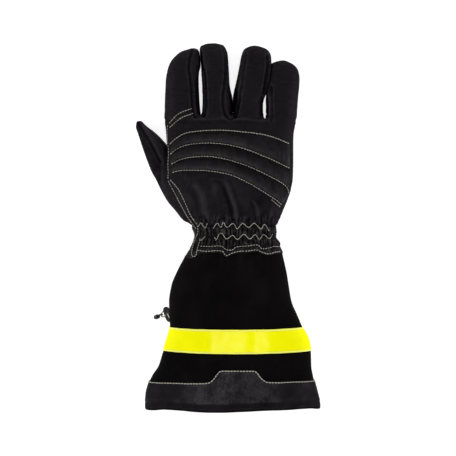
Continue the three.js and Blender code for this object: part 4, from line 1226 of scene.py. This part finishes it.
width = BAND_Y[0] - BAND_Y[1]
cross = [(0.0, 0.18, 0.0), (0.25, 0.62, 0.6), (0.7, 0.86, 1.0), (1.3, 0.90, 1.0), (1.7, 0.74, 0.3), (2.1, 0.72, 0.0), (2.6, 0.88, 0.0)]
out_rows = [(BAND_Y[0] - d, o, ed) for d, o, ed in cross]
out_rows += [(BAND_Y[0] - d, 0.92, 0.0) for d in np.linspace(3.3, width - 3.3, 22)]
out_rows += [(BAND_Y[1] + d, o, ed) for d, o, ed in reversed(cross)]
specs = [(y, o, 0.0) for y, o, _ in out_rows] + [(y, 0.12, 0.62) for y in np.linspace(BAND_Y[1] + 0.15, BAND_Y[0] - 0.15, 18)]
g_band, s_band = tube(CUFF, specs, y_of=band_bend)
band_me = mesh_of("yellow_tape", to_row(g_band.reshape(-1, 3)), grid_faces(len(specs), NT, wrap_rows=True))
outward(band_me)
edge_a = np.concatenate([np.repeat([ed for _, _, ed in out_rows], NT), np.zeros(18 * NT)])
gb = g_band.reshape(-1, 3)
ub = to_px(gb)[:, 0]
ub = ub + 1.6 * noise(gb / 7.0, 53)
# painted reflection of two lamps: two paler bands across the tape's upper side, with noisy edges and patchy strength
painted_reflection = (smooth(208, 214.5, ub) * smooth(249, 242, ub) + smooth(252, 257.5, ub) * smooth(271, 265, ub)) * (gb[:, 2] > 20)
attribute(band_me, "edge", edge_a)
attribute(band_me, "painted_reflection", painted_reflection * np.clip(0.68 + 0.42 * noise(gb / 7.0, 52), 0, 1))
ob_band = add_object("yellow_tape", band_me, [M_TAPE])
finish_piece(ob_band, "tape", "hivis_band")


# ---------------------------------------------------------------- leather hem
def hem_top(p):
    yy = np.interp(p[:, 0], [a for a, _ in HEM_TOP], [b for _, b in HEM_TOP])
    s = smooth(12, 20, p[:, 2])
    return yy * s - 157.4 * (1 - s)


HEM_LOW = [(-87, -186.6), (-80, -186.0), (-74, -185.4), (-66, -184.3), (-50, -184.6), (-34, -185.7), (-18, -186.3), (-6, -186.3), (14, -185.5), (30, -184.8),
           (46, -184.3), (62, -184.1), (74, -183.6), (84, -183.7), (90, -184.6), (96, -186.0)]


def hem_low(p):
    yy = pchip([a for a, _ in HEM_LOW], [b for _, b in HEM_LOW], p[:, 0])
    s = smooth(6, 18, p[:, 2])
    return yy * s - 186.4 * (1 - s)


NTH = NT
hem_rows, hem_shade = [], []
T = np.concatenate([[0, 0.005, 0.011, 0.018, 0.026, 0.036, 0.048, 0.062], np.linspace(0.080, 0.95, 44), [0.965, 0.98, 0.99, 1.0]])
p_low, q_low = tube_ring(CUFF, -187.0)


def hem_place(y_t):
    """Points and normals of the cuff's section at each point's own y."""
    f = np.clip((y_t + 143) / (-47 / 29), 0, 28.999)
    k = f.astype(int)
    w_ = (f - k)[:, None]
    idx = np.arange(NT)
    return RING_P[k, idx] * (1 - w_) + RING_P[k + 1, idx] * w_, RING_Q[k, idx] * (1 - w_) + RING_Q[k + 1, idx] * w_


def hem_point(t, offd, floor, crease=True):
    """Points at share t from the hem's upper to its lower edge."""
    y_t = np.full(NT, -158 - 29 * float(np.mean(t)))
    for _ in range(6):
        p, q = hem_place(y_t)
        top, low = hem_top(p), hem_low(p)
        y_t = 0.3 * y_t + 0.7 * (top + (low - top) * t)
    p, q = hem_place(y_t)
    d, sh_ = cuff_wave(p, q)
    extra = np.zeros(NT)
    shade_ = 0.5 * sh_
    if crease:
        rise = p[:, 1] - hem_low(p) + 0.5 * noise(p / 15.0, 62)  # height over the lower edge
        over_ = smooth(9, 20, p[:, 2])
        faint = 0.9 + 0.4 * noise(p / 16.0, 67)
        extra -= over_ * (0.35 * faint * bell(rise - 7.3, 0.9) + 0.16 * smooth(7.6, 6.4, rise))
        extra += over_ * 0.22 * bell(rise - 9.4, 1.5)
        # painted shade on the rounded lower edge and in the band below the crease, a thin lighter line between them,
        # and a painted highlight on the rise above the crease
        shade_ = shade_ + over_ * faint * np.interp(rise, [0, 1.1, 1.9, 2.7, 3.4, 6.3, 7.5, 8.5, 9.8, 12, 15], [-0.85, -0.7, 0.0, 0.0, -0.36, -0.32, -0.10, 0.18, 0.20, 0.06, 0.0])
        extra += 0.16 * noise(p / 6.0, 63)
        shade_ = shade_ + 0.3 * noise(p / 9.0, 64)
    r = p + q * (d + offd + extra)[:, None]
    r[:, 2] = np.maximum(r[:, 2], floor)
    return r, shade_


LEVELS = [tube_ring(CUFF, yy) for yy in np.linspace(-143, -190, 30)]
RING_P = np.array([a_ for a_, _ in LEVELS])
RING_Q = np.array([b_ for _, b_ in LEVELS])
p_top, _ = hem_point(0.0, 1.0, 0.0, crease=False)
LENGTH = hem_top(p_top) - hem_low(p_top)
for t in T:
    edge_h = 0.15 + 0.85 * min(1.0, (t / 0.012)) ** 0.5
    down = t * LENGTH
    valley = -0.30 * bell(down - 0.95, 0.5)
    r, s_ = hem_point(t, 0.15 + 0.85 * edge_h + valley - 0.25 * max(0.0, (t - 0.975) / 0.025), 0.0)
    hem_rows.append(r)
    on_top = smooth(18, 30, r[:, 2])
    # painted light on the hem: a lighter patch along the middle of its upper side broken up by noise, a light line just
    # below the upper edge, painted shade in the groove at that edge, and a slight lift over the whole upper side
    span = np.interp(r[:, 0], [-42, -34, -29, -24, -18, -12, -4, 2, 10, 22, 36, 46, 54], [0.0, 0.55, 0.95, 0.65, 0.42, 0.55, 0.90, 0.70, 0.50, 0.45, 0.48, 0.35, 0.0])
    mid_ = span * smooth(7.0, 9.0, r[:, 1] - hem_low(r)) * on_top
    spots = noise(r / 1.5, 65) * 0.6 + noise(r / 4.5, 66) * 0.35
    hem_shade.append(s_ + 0.2 * bell(down - 2.4, 0.9) + valley * 1.5 + 0.0 + mid_ * (0.95 + 1.5 * spots) + 0.03 * on_top * smooth(7.0, 9.0, r[:, 1] - hem_low(r)))
for t, offd, dy in ((1.0, 0.0, -0.55), (1.0, -1.3, -0.85), (1.0, -2.8, -0.6), (1.0, -3.4, 0.1), (0.93, -3.5, 0), (0.80, -3.5, 0), (0.72, -3.45, 0), (0.715, -3.1, 0),
                    (0.72, -2.82, 0), (0.85, -2.82, 0), (0.955, -2.82, 0), (0.966, -1.4, 0), (0.955, 0.14, 0), (0.7, 0.14, 0), (0.5, 0.14, 0), (0.3, 0.14, 0), (0.1, 0.14, 0), (0.01, 0.14, 0)):
    floor = 0.0 if offd >= 0 and dy < 0 else (0.72 if offd > 0 else {-1.3: 0.9, -1.4: 0.9}.get(offd, 3.75 if offd == -2.82 else 4.4))
    if dy and offd <= -2.8:
        floor = 3.4 if offd == -2.8 else 4.4
    r, s_ = hem_point(t, offd, floor, crease=False)
    r = r + [0, dy, 0]
    hem_rows.append(r)
    hem_shade.append(np.zeros(NT))
hv = np.concatenate(hem_rows)
hem_me = mesh_of("leather_hem", to_row(hv), grid_faces(len(hem_rows), NT, wrap_rows=True))
outward(hem_me)
attribute(hem_me, "painted_light", np.clip(np.concatenate(hem_shade), -1, 1))
ob_hem = add_object("leather_hem", hem_me, [M_HEM])
finish_piece(ob_hem, "hem_leather", "hem_panel")

SURFACES += [tree(ob_pad), tree(ob_wrist), tree(ob_cuff), tree(ob_band), tree(ob_hem)]


# ---------------------------------------------------------------- stitches
def trace(px_line, step=0.35):
    """Surface points and normals along a picture line."""
    c = spline(px_line, step)
    pts, nrm = [], []
    for u, v_ in c:
        h = look(u, v_)
        if h is None:
            continue
        pts.append(h[0])
        nrm.append(h[1])
    return np.array(pts), np.array(nrm)


def soften(p, k=2):
    for _ in range(k):
        q = p.copy()
        q[1:-1] = (p[:-2] + 2 * p[1:-1] + p[2:]) / 4
        p = q
    return p


class Threads:
    def __init__(self, name):
        self.name, self.v, self.f, self.n = name, [], [], 0
        self.rng = np.random.RandomState(len(name) * 7 + 3)

    def line(self, p, nrm, pitch=3.0, gap=0.5, radius=0.33, rise=0.2, jitter=0.12, tall=1.0):
        p, nrm = soften(p), soften(nrm, 4)
        nrm = nrm / np.linalg.norm(nrm, axis=1)[:, None]
        s = np.concatenate([[0], np.cumsum(np.linalg.norm(np.diff(p, axis=0), axis=1))])
        if s[-1] < 1.2:
            return
        count = max(1, int(round(s[-1] / pitch)))
        pit = s[-1] / count
        for k in range(count):
            a = k * pit + gap / 2 + self.rng.uniform(-1, 1) * jitter
            b = (k + 1) * pit - gap / 2 + self.rng.uniform(-1, 1) * jitter
            side_shift = self.rng.uniform(-1, 1) * jitter * 0.8
            m = 9
            t = np.linspace(0, 1, m)
            at = a + (b - a) * t
            c = np.stack([np.interp(at, s, p[:, i]) for i in range(3)], 1)
            nn = np.stack([np.interp(at, s, nrm[:, i]) for i in range(3)], 1)
            nn /= np.linalg.norm(nn, axis=1)[:, None]
            tan = np.gradient(c, axis=0)
            tan /= np.linalg.norm(tan, axis=1)[:, None] + 1e-12
            sd = np.cross(tan, nn)
            sd /= np.linalg.norm(sd, axis=1)[:, None] + 1e-12
            nn = np.cross(sd, tan)
            arch = np.sin(np.pi * np.clip(t, 0, 1)) ** 0.5
            c = c + nn * ((rise + 0.36) * arch - 0.36)[:, None] + sd * side_shift
            rad = radius * (0.55 + 0.45 * np.sin(np.pi * np.clip(t * 0.96 + 0.02, 0, 1)) ** 0.35)
            S = 8
            th = np.arange(S) / S * 2 * np.pi
            rings = []
            for i in range(m):
                tw = th + i * 0.75
                rr = rad[i] * (1 + 0.13 * np.cos(2 * tw))
                rings.append(c[i] + np.outer(np.cos(th) * rr, sd[i]) + np.outer(np.sin(th) * rr * tall, nn[i]))
            base_i = self.n
            self.v += [*rings, [c[0] - tan[0] * radius * 0.4], [c[-1] + tan[-1] * radius * 0.4]]
            q = grid_faces(m, S) + base_i
            self.f += [tuple(x) for x in q]
            for i in range(S):
                self.f.append((base_i + m * S, base_i + (i + 1) % S, base_i + i))
                self.f.append((base_i + m * S + 1, base_i + (m - 1) * S + i, base_i + (m - 1) * S + (i + 1) % S))
            self.n += m * S + 2

    def build(self, mat, slot=None):
        me = mesh_of(self.name, to_row(np.concatenate(self.v)), self.f)
        outward(me)
        ob = add_object(self.name, me, [mat])
        finish_piece(ob, slot)
        return ob


hand_thread = Threads("stitches_hand")
for line in INDEX_ST:
    hand_thread.line(*trace(line), pitch=2.9, radius=0.30)
for line in THUMB_ST:
    hand_thread.line(*trace(line), pitch=2.9, radius=0.30)
for line in PALM_ST:
    hand_thread.line(*trace(line), pitch=3.0, radius=0.21)
ob_ht = hand_thread.build(M_THREAD)
pad_thread = Threads("stitches_knuckle")
for (p, q), fat in zip(PAD_VALLEY, (0.36, 0.36, 0.36, 0.28)):
    pad_thread.line(p[2:-2], q[2:-2], pitch=2.9, gap=0.5, radius=fat, rise=0.32)
pad_thread.line(*trace(PAD_EXTRA), pitch=2.9, radius=0.26)
ob_pt = pad_thread.build(M_THREAD)
wrist_thread = Threads("stitches_wrist")
for line in ZIG:
    wrist_thread.line(*trace(line, 0.25), pitch=2.3, gap=0.18, radius=0.32, rise=0.30)
for line in WAVY:
    wrist_thread.line(*trace(line), pitch=2.9, radius=0.28)
for line in STRIP_ST:
    wrist_thread.line(*trace(line), pitch=2.7, radius=0.28)
ob_wt = wrist_thread.build(M_THREAD)


def hem_line():
    """The seam just inside the hem's upper edge, on the upper side and round to the palm."""
    r, _ = hem_point(0.95 / LENGTH, 0.15 + 0.85 + -0.26, 0.0)
    p, q = tube_ring(CUFF, -159)
    up_ = r[:, 2] > 5
    idx = np.where(up_)[0]
    pts = r[idx]
    return pts, q[idx]


hem_thread = Threads("stitches_hem")
hem_thread.line(*hem_line(), pitch=3.1, radius=0.40, rise=0.28)
ob_hmt = hem_thread.build(M_THREAD)

band_thread = Threads("stitches_tape")
for y in (BAND_Y[0] - 1.9, BAND_Y[1] + 1.9):
    g_, _ = tube(CUFF, [(y, 0.73, 0.0)], y_of=band_bend)
    p, q = tube_ring(CUFF, y)
    idx = np.where(g_[0][:, 2] > 4)[0]
    band_thread.line(g_[0][idx], q[idx], pitch=2.7, radius=0.24, rise=0.12)
ob_bt = band_thread.build(M_THREAD_Y)


# ---------------------------------------------------------------- clip
def frame_of(path_pts, normal):
    tan = np.roll(path_pts, -1, 0) - np.roll(path_pts, 1, 0)
    tan /= np.linalg.norm(tan, axis=1)[:, None]
    rad = np.cross(tan, normal)
    rad /= np.linalg.norm(rad, axis=1)[:, None]
    return rad


def hoop(points, normal, prof):
    rad = frame_of(points, normal)
    rings = [points + rad * a + normal * b for a, b in prof]
    n_, m_ = len(points), len(prof)
    v_ = np.stack(rings, 1).reshape(-1, 3)
    return v_, grid_faces(n_, m_, wrap_rows=True)


lean, droop, tilt = math.radians(19), math.radians(33), math.radians(54)
along = np.array([-math.sin(lean), math.cos(lean), 0])
across = np.array([math.cos(lean) * math.cos(droop), math.sin(lean) * math.cos(droop), math.sin(droop)])
upc = np.cross(across, along)
upc /= np.linalg.norm(upc)
centre = np.array([-64.9, -88.7, 10.5]) + 1.8 * across - 1.6 * along
a = np.linspace(0, 2 * np.pi, 120, endpoint=False)
oval = centre + np.outer((8.0 - 1.75) * np.sign(np.sin(a)) * np.abs(np.sin(a)) ** 0.6, along) + np.outer(2.45 * np.sign(np.cos(a)) * np.abs(np.cos(a)) ** 0.6, across)
for _ in range(3):
    oval = (np.roll(oval, 1, 0) + 2 * oval + np.roll(oval, -1, 0)) / 4
th = np.linspace(0, 2 * np.pi, 28, endpoint=False)
band_prof = [(1.95 * np.sign(math.cos(t)) * abs(math.cos(t)) ** 0.35, 0.62 * np.sign(math.sin(t)) * abs(math.sin(t)) ** 0.7 + 0.07 * math.cos(7 * t)) for t in th]
hvv, hff = hoop(oval, upc, band_prof)
hvv = hvv + 0.05 * noise(hvv / 0.8, 71)[:, None]
loop_me = mesh_of("webbing_loop", to_row(hvv), hff)
outward(loop_me)
ob_loop = add_object("webbing_loop", loop_me, [M_WEB])
finish_piece(ob_loop, "webbing", "clip_loop")

outv = -across
side0 = np.cross(outv, along)
side0 /= np.linalg.norm(side0)
side = side0 * math.cos(tilt) + along * math.sin(tilt)
side /= np.linalg.norm(side)
ring_n = np.cross(outv, side)
ring_n /= np.linalg.norm(ring_n)
ring_c = centre + along * 1.7 + outv * 4.1
a = np.linspace(0, 2 * np.pi, 96, endpoint=False)
circ = ring_c + np.outer(3.9 * np.cos(a), outv) + np.outer(3.5 * np.sin(a), side)
wire = [(0.6 * math.cos(t), 0.6 * math.sin(t)) for t in np.linspace(0, 2 * np.pi, 18, endpoint=False)]
rv, rf = hoop(circ, ring_n, wire)
# split ring, here drawn as a single closed loop of wire, without the second turn that ends in a small step
ring_me = mesh_of("split_ring", to_row(rv), rf)
outward(ring_me)
ob_ring = add_object("split_ring", ring_me, [M_METAL])
finish_piece(ob_ring, "ring_metal", "clip_ring")

eye_c = ring_c + outv * 4.15
a = np.linspace(0, 2 * np.pi, 60, endpoint=False)
eye = eye_c + np.outer(1.55 * np.cos(a), outv) + np.outer(1.55 * np.sin(a), ring_n)
ev, ef = hoop(eye, side, [(0.5 * math.cos(t), 0.5 * math.sin(t)) for t in np.linspace(0, 2 * np.pi, 16, endpoint=False)])
bean_c = eye_c + outv * (1.55 + 4.2 - 0.5)
bean_c += [-0.5, -1.1, 0]
bean_c[2] = max(bean_c[2], 2.75)
third = np.cross(side, outv)
la = np.linspace(0, np.pi, 40)
lo_ = np.linspace(0, 2 * np.pi, 56, endpoint=False)
bv = []
for t in la:
    for s_ in lo_:
        r_ = math.sin(t) ** 0.82
        groove = 1 - 0.07 * math.exp(-((math.cos(t) * 3.9 - 1.9) / 0.35) ** 2) - 0.05 * math.exp(-((math.cos(t) * 3.9 + 2.3) / 0.3) ** 2)
        bend = 0.35 * (1 - math.cos(t) ** 2) - 0.2
        bv.append(bean_c + outv * 3.9 * math.cos(t) + third * (2.6 * r_ * math.cos(s_) * groove + bend * 0.5) + side * 2.6 * r_ * math.sin(s_) * groove)
bv = np.array(bv)
bv[:, 2] = np.maximum(bv[:, 2], 0.12)
bf = [tuple(x) for x in grid_faces(len(la), len(lo_))]
nb = len(bv)
bvf = np.concatenate([bv, [bean_c + outv * 3.9], [bean_c - outv * 3.9]])
for k in range(len(lo_)):
    bf.append((nb, (k + 1) % len(lo_), k))
    bf.append((nb + 1, (len(la) - 1) * len(lo_) + k, (len(la) - 1) * len(lo_) + (k + 1) % len(lo_)))
tv, tf = joined([(bvf, bf), (ev, [tuple(x) for x in ef])])
tog_me = mesh_of("toggle_bean", to_row(tv), tf)
outward(tog_me)
ob_tog = add_object("toggle_bean", tog_me, [M_PLASTIC])
finish_piece(ob_tog, "toggle_plastic", "clip_toggle")

# ---------------------------------------------------------------- stage
floor_me = bpy.data.meshes.new("floor")
nf = 64
fa = [(4.0 * math.cos(2 * math.pi * k / nf), 4.0 * math.sin(2 * math.pi * k / nf), -0.0004) for k in range(nf)]
floor_me.from_pydata(fa, [], [tuple(range(nf))])
floor = bpy.data.objects.new("floor", floor_me)
bpy.context.scene.collection.objects.link(floor)
m, nt, sh = new_material("floor_white")
g = Net(nt)
nt.links.new(g.ramp(g.noise(g.coord(), 3, 2, 0.5), [(0.3, (0.60, 0.60, 0.60)), (0.7, (0.62, 0.62, 0.62))]), sh.inputs["Base Color"])
sh.inputs["Roughness"].default_value = 0.9
sh.inputs["Specular IOR Level"].default_value = 0.1
sh.inputs["Emission Color"].default_value = (1, 1, 1, 1)
reach = g.node("ShaderNodeVectorMath", {"operation": "LENGTH"}, i0=g.coord()).outputs["Value"]
nt.links.new(g.remap(reach, 0.7, 2.6, 0.76, 0.99), sh.inputs["Emission Strength"])
floor_me.materials.append(m)
floor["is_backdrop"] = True


def softbox(name, place, target, size, power):
    d = bpy.data.lights.new(name, "AREA")
    d.shape, d.size, d.size_y, d.energy = "RECTANGLE", size[0], size[1], power
    o = bpy.data.objects.new(name, d)
    bpy.context.scene.collection.objects.link(o)
    o.location = place
    o.rotation_euler = (Vector(target) - Vector(place)).to_track_quat("-Z", "Y").to_euler()
    return o


softbox("box_left", (-1.35, 0.15, 0.66), (0, 0, 0), (1.3, 0.6), 9)
softbox("box_right", (1.35, 0.05, 0.66), (0, 0, 0), (1.3, 0.6), 8)
softbox("box_far", (0.0, 1.45, 0.70), (0, 0, 0), (1.4, 0.6), 5.6)
softbox("box_near", (0.05, -1.45, 0.66), (0, 0, 0), (1.4, 0.6), 7.6)
softbox("box_top", (0.03, -0.06, 1.9), (0.0, 0, 0), (0.5, 0.5), 4.2)

world = bpy.data.worlds.new("studio")
bpy.context.scene.world = world
world.use_nodes = True
wn = world.node_tree
wn.nodes.clear()
wo = wn.nodes.new("ShaderNodeOutputWorld")
wb = wn.nodes.new("ShaderNodeBackground")
wt = wn.nodes.new("ShaderNodeTexCoord")
wsep = wn.nodes.new("ShaderNodeSeparateXYZ")
wr_ = wn.nodes.new("ShaderNodeValToRGB")
wn.links.new(wt.outputs["Generated"], wsep.inputs[0])
wn.links.new(wsep.outputs["Z"], wr_.inputs["Fac"])
wn.links.new(wr_.outputs["Color"], wb.inputs["Color"])
wn.links.new(wb.outputs["Background"], wo.inputs["Surface"])
el = wr_.color_ramp.elements
el[0].position, el[0].color = 0.0, (1, 1, 1, 1)
el[1].position, el[1].color = 1.0, (0.05, 0.05, 0.052, 1)
for pos, c in ((0.25, 1.0), (0.5, 0.45), (0.72, 0.08)):
    x = el.new(pos)
    x.color = (c, c, c, 1)
wb.inputs["Strength"].default_value = 1.02

cam_d = bpy.data.cameras.new("camera")
cam_d.lens, cam_d.sensor_width = 85, 36
cam_d.clip_end = 20
cam = bpy.data.objects.new("camera", cam_d)
cam.location = ((SHIFT[0] + EYE_X) * 1e-3, SHIFT[1] * 1e-3, EYE * 1e-3)
cam.rotation_euler = (0, 0, 0)
bpy.context.scene.collection.objects.link(cam)
bpy.context.scene.camera = cam
bpy.context.scene.view_settings.view_transform = "Standard"

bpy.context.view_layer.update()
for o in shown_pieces():
    if o.type == "MESH":
        print("PIECE", o.name, sum(len(p.vertices) - 2 for p in o.data.polygons))
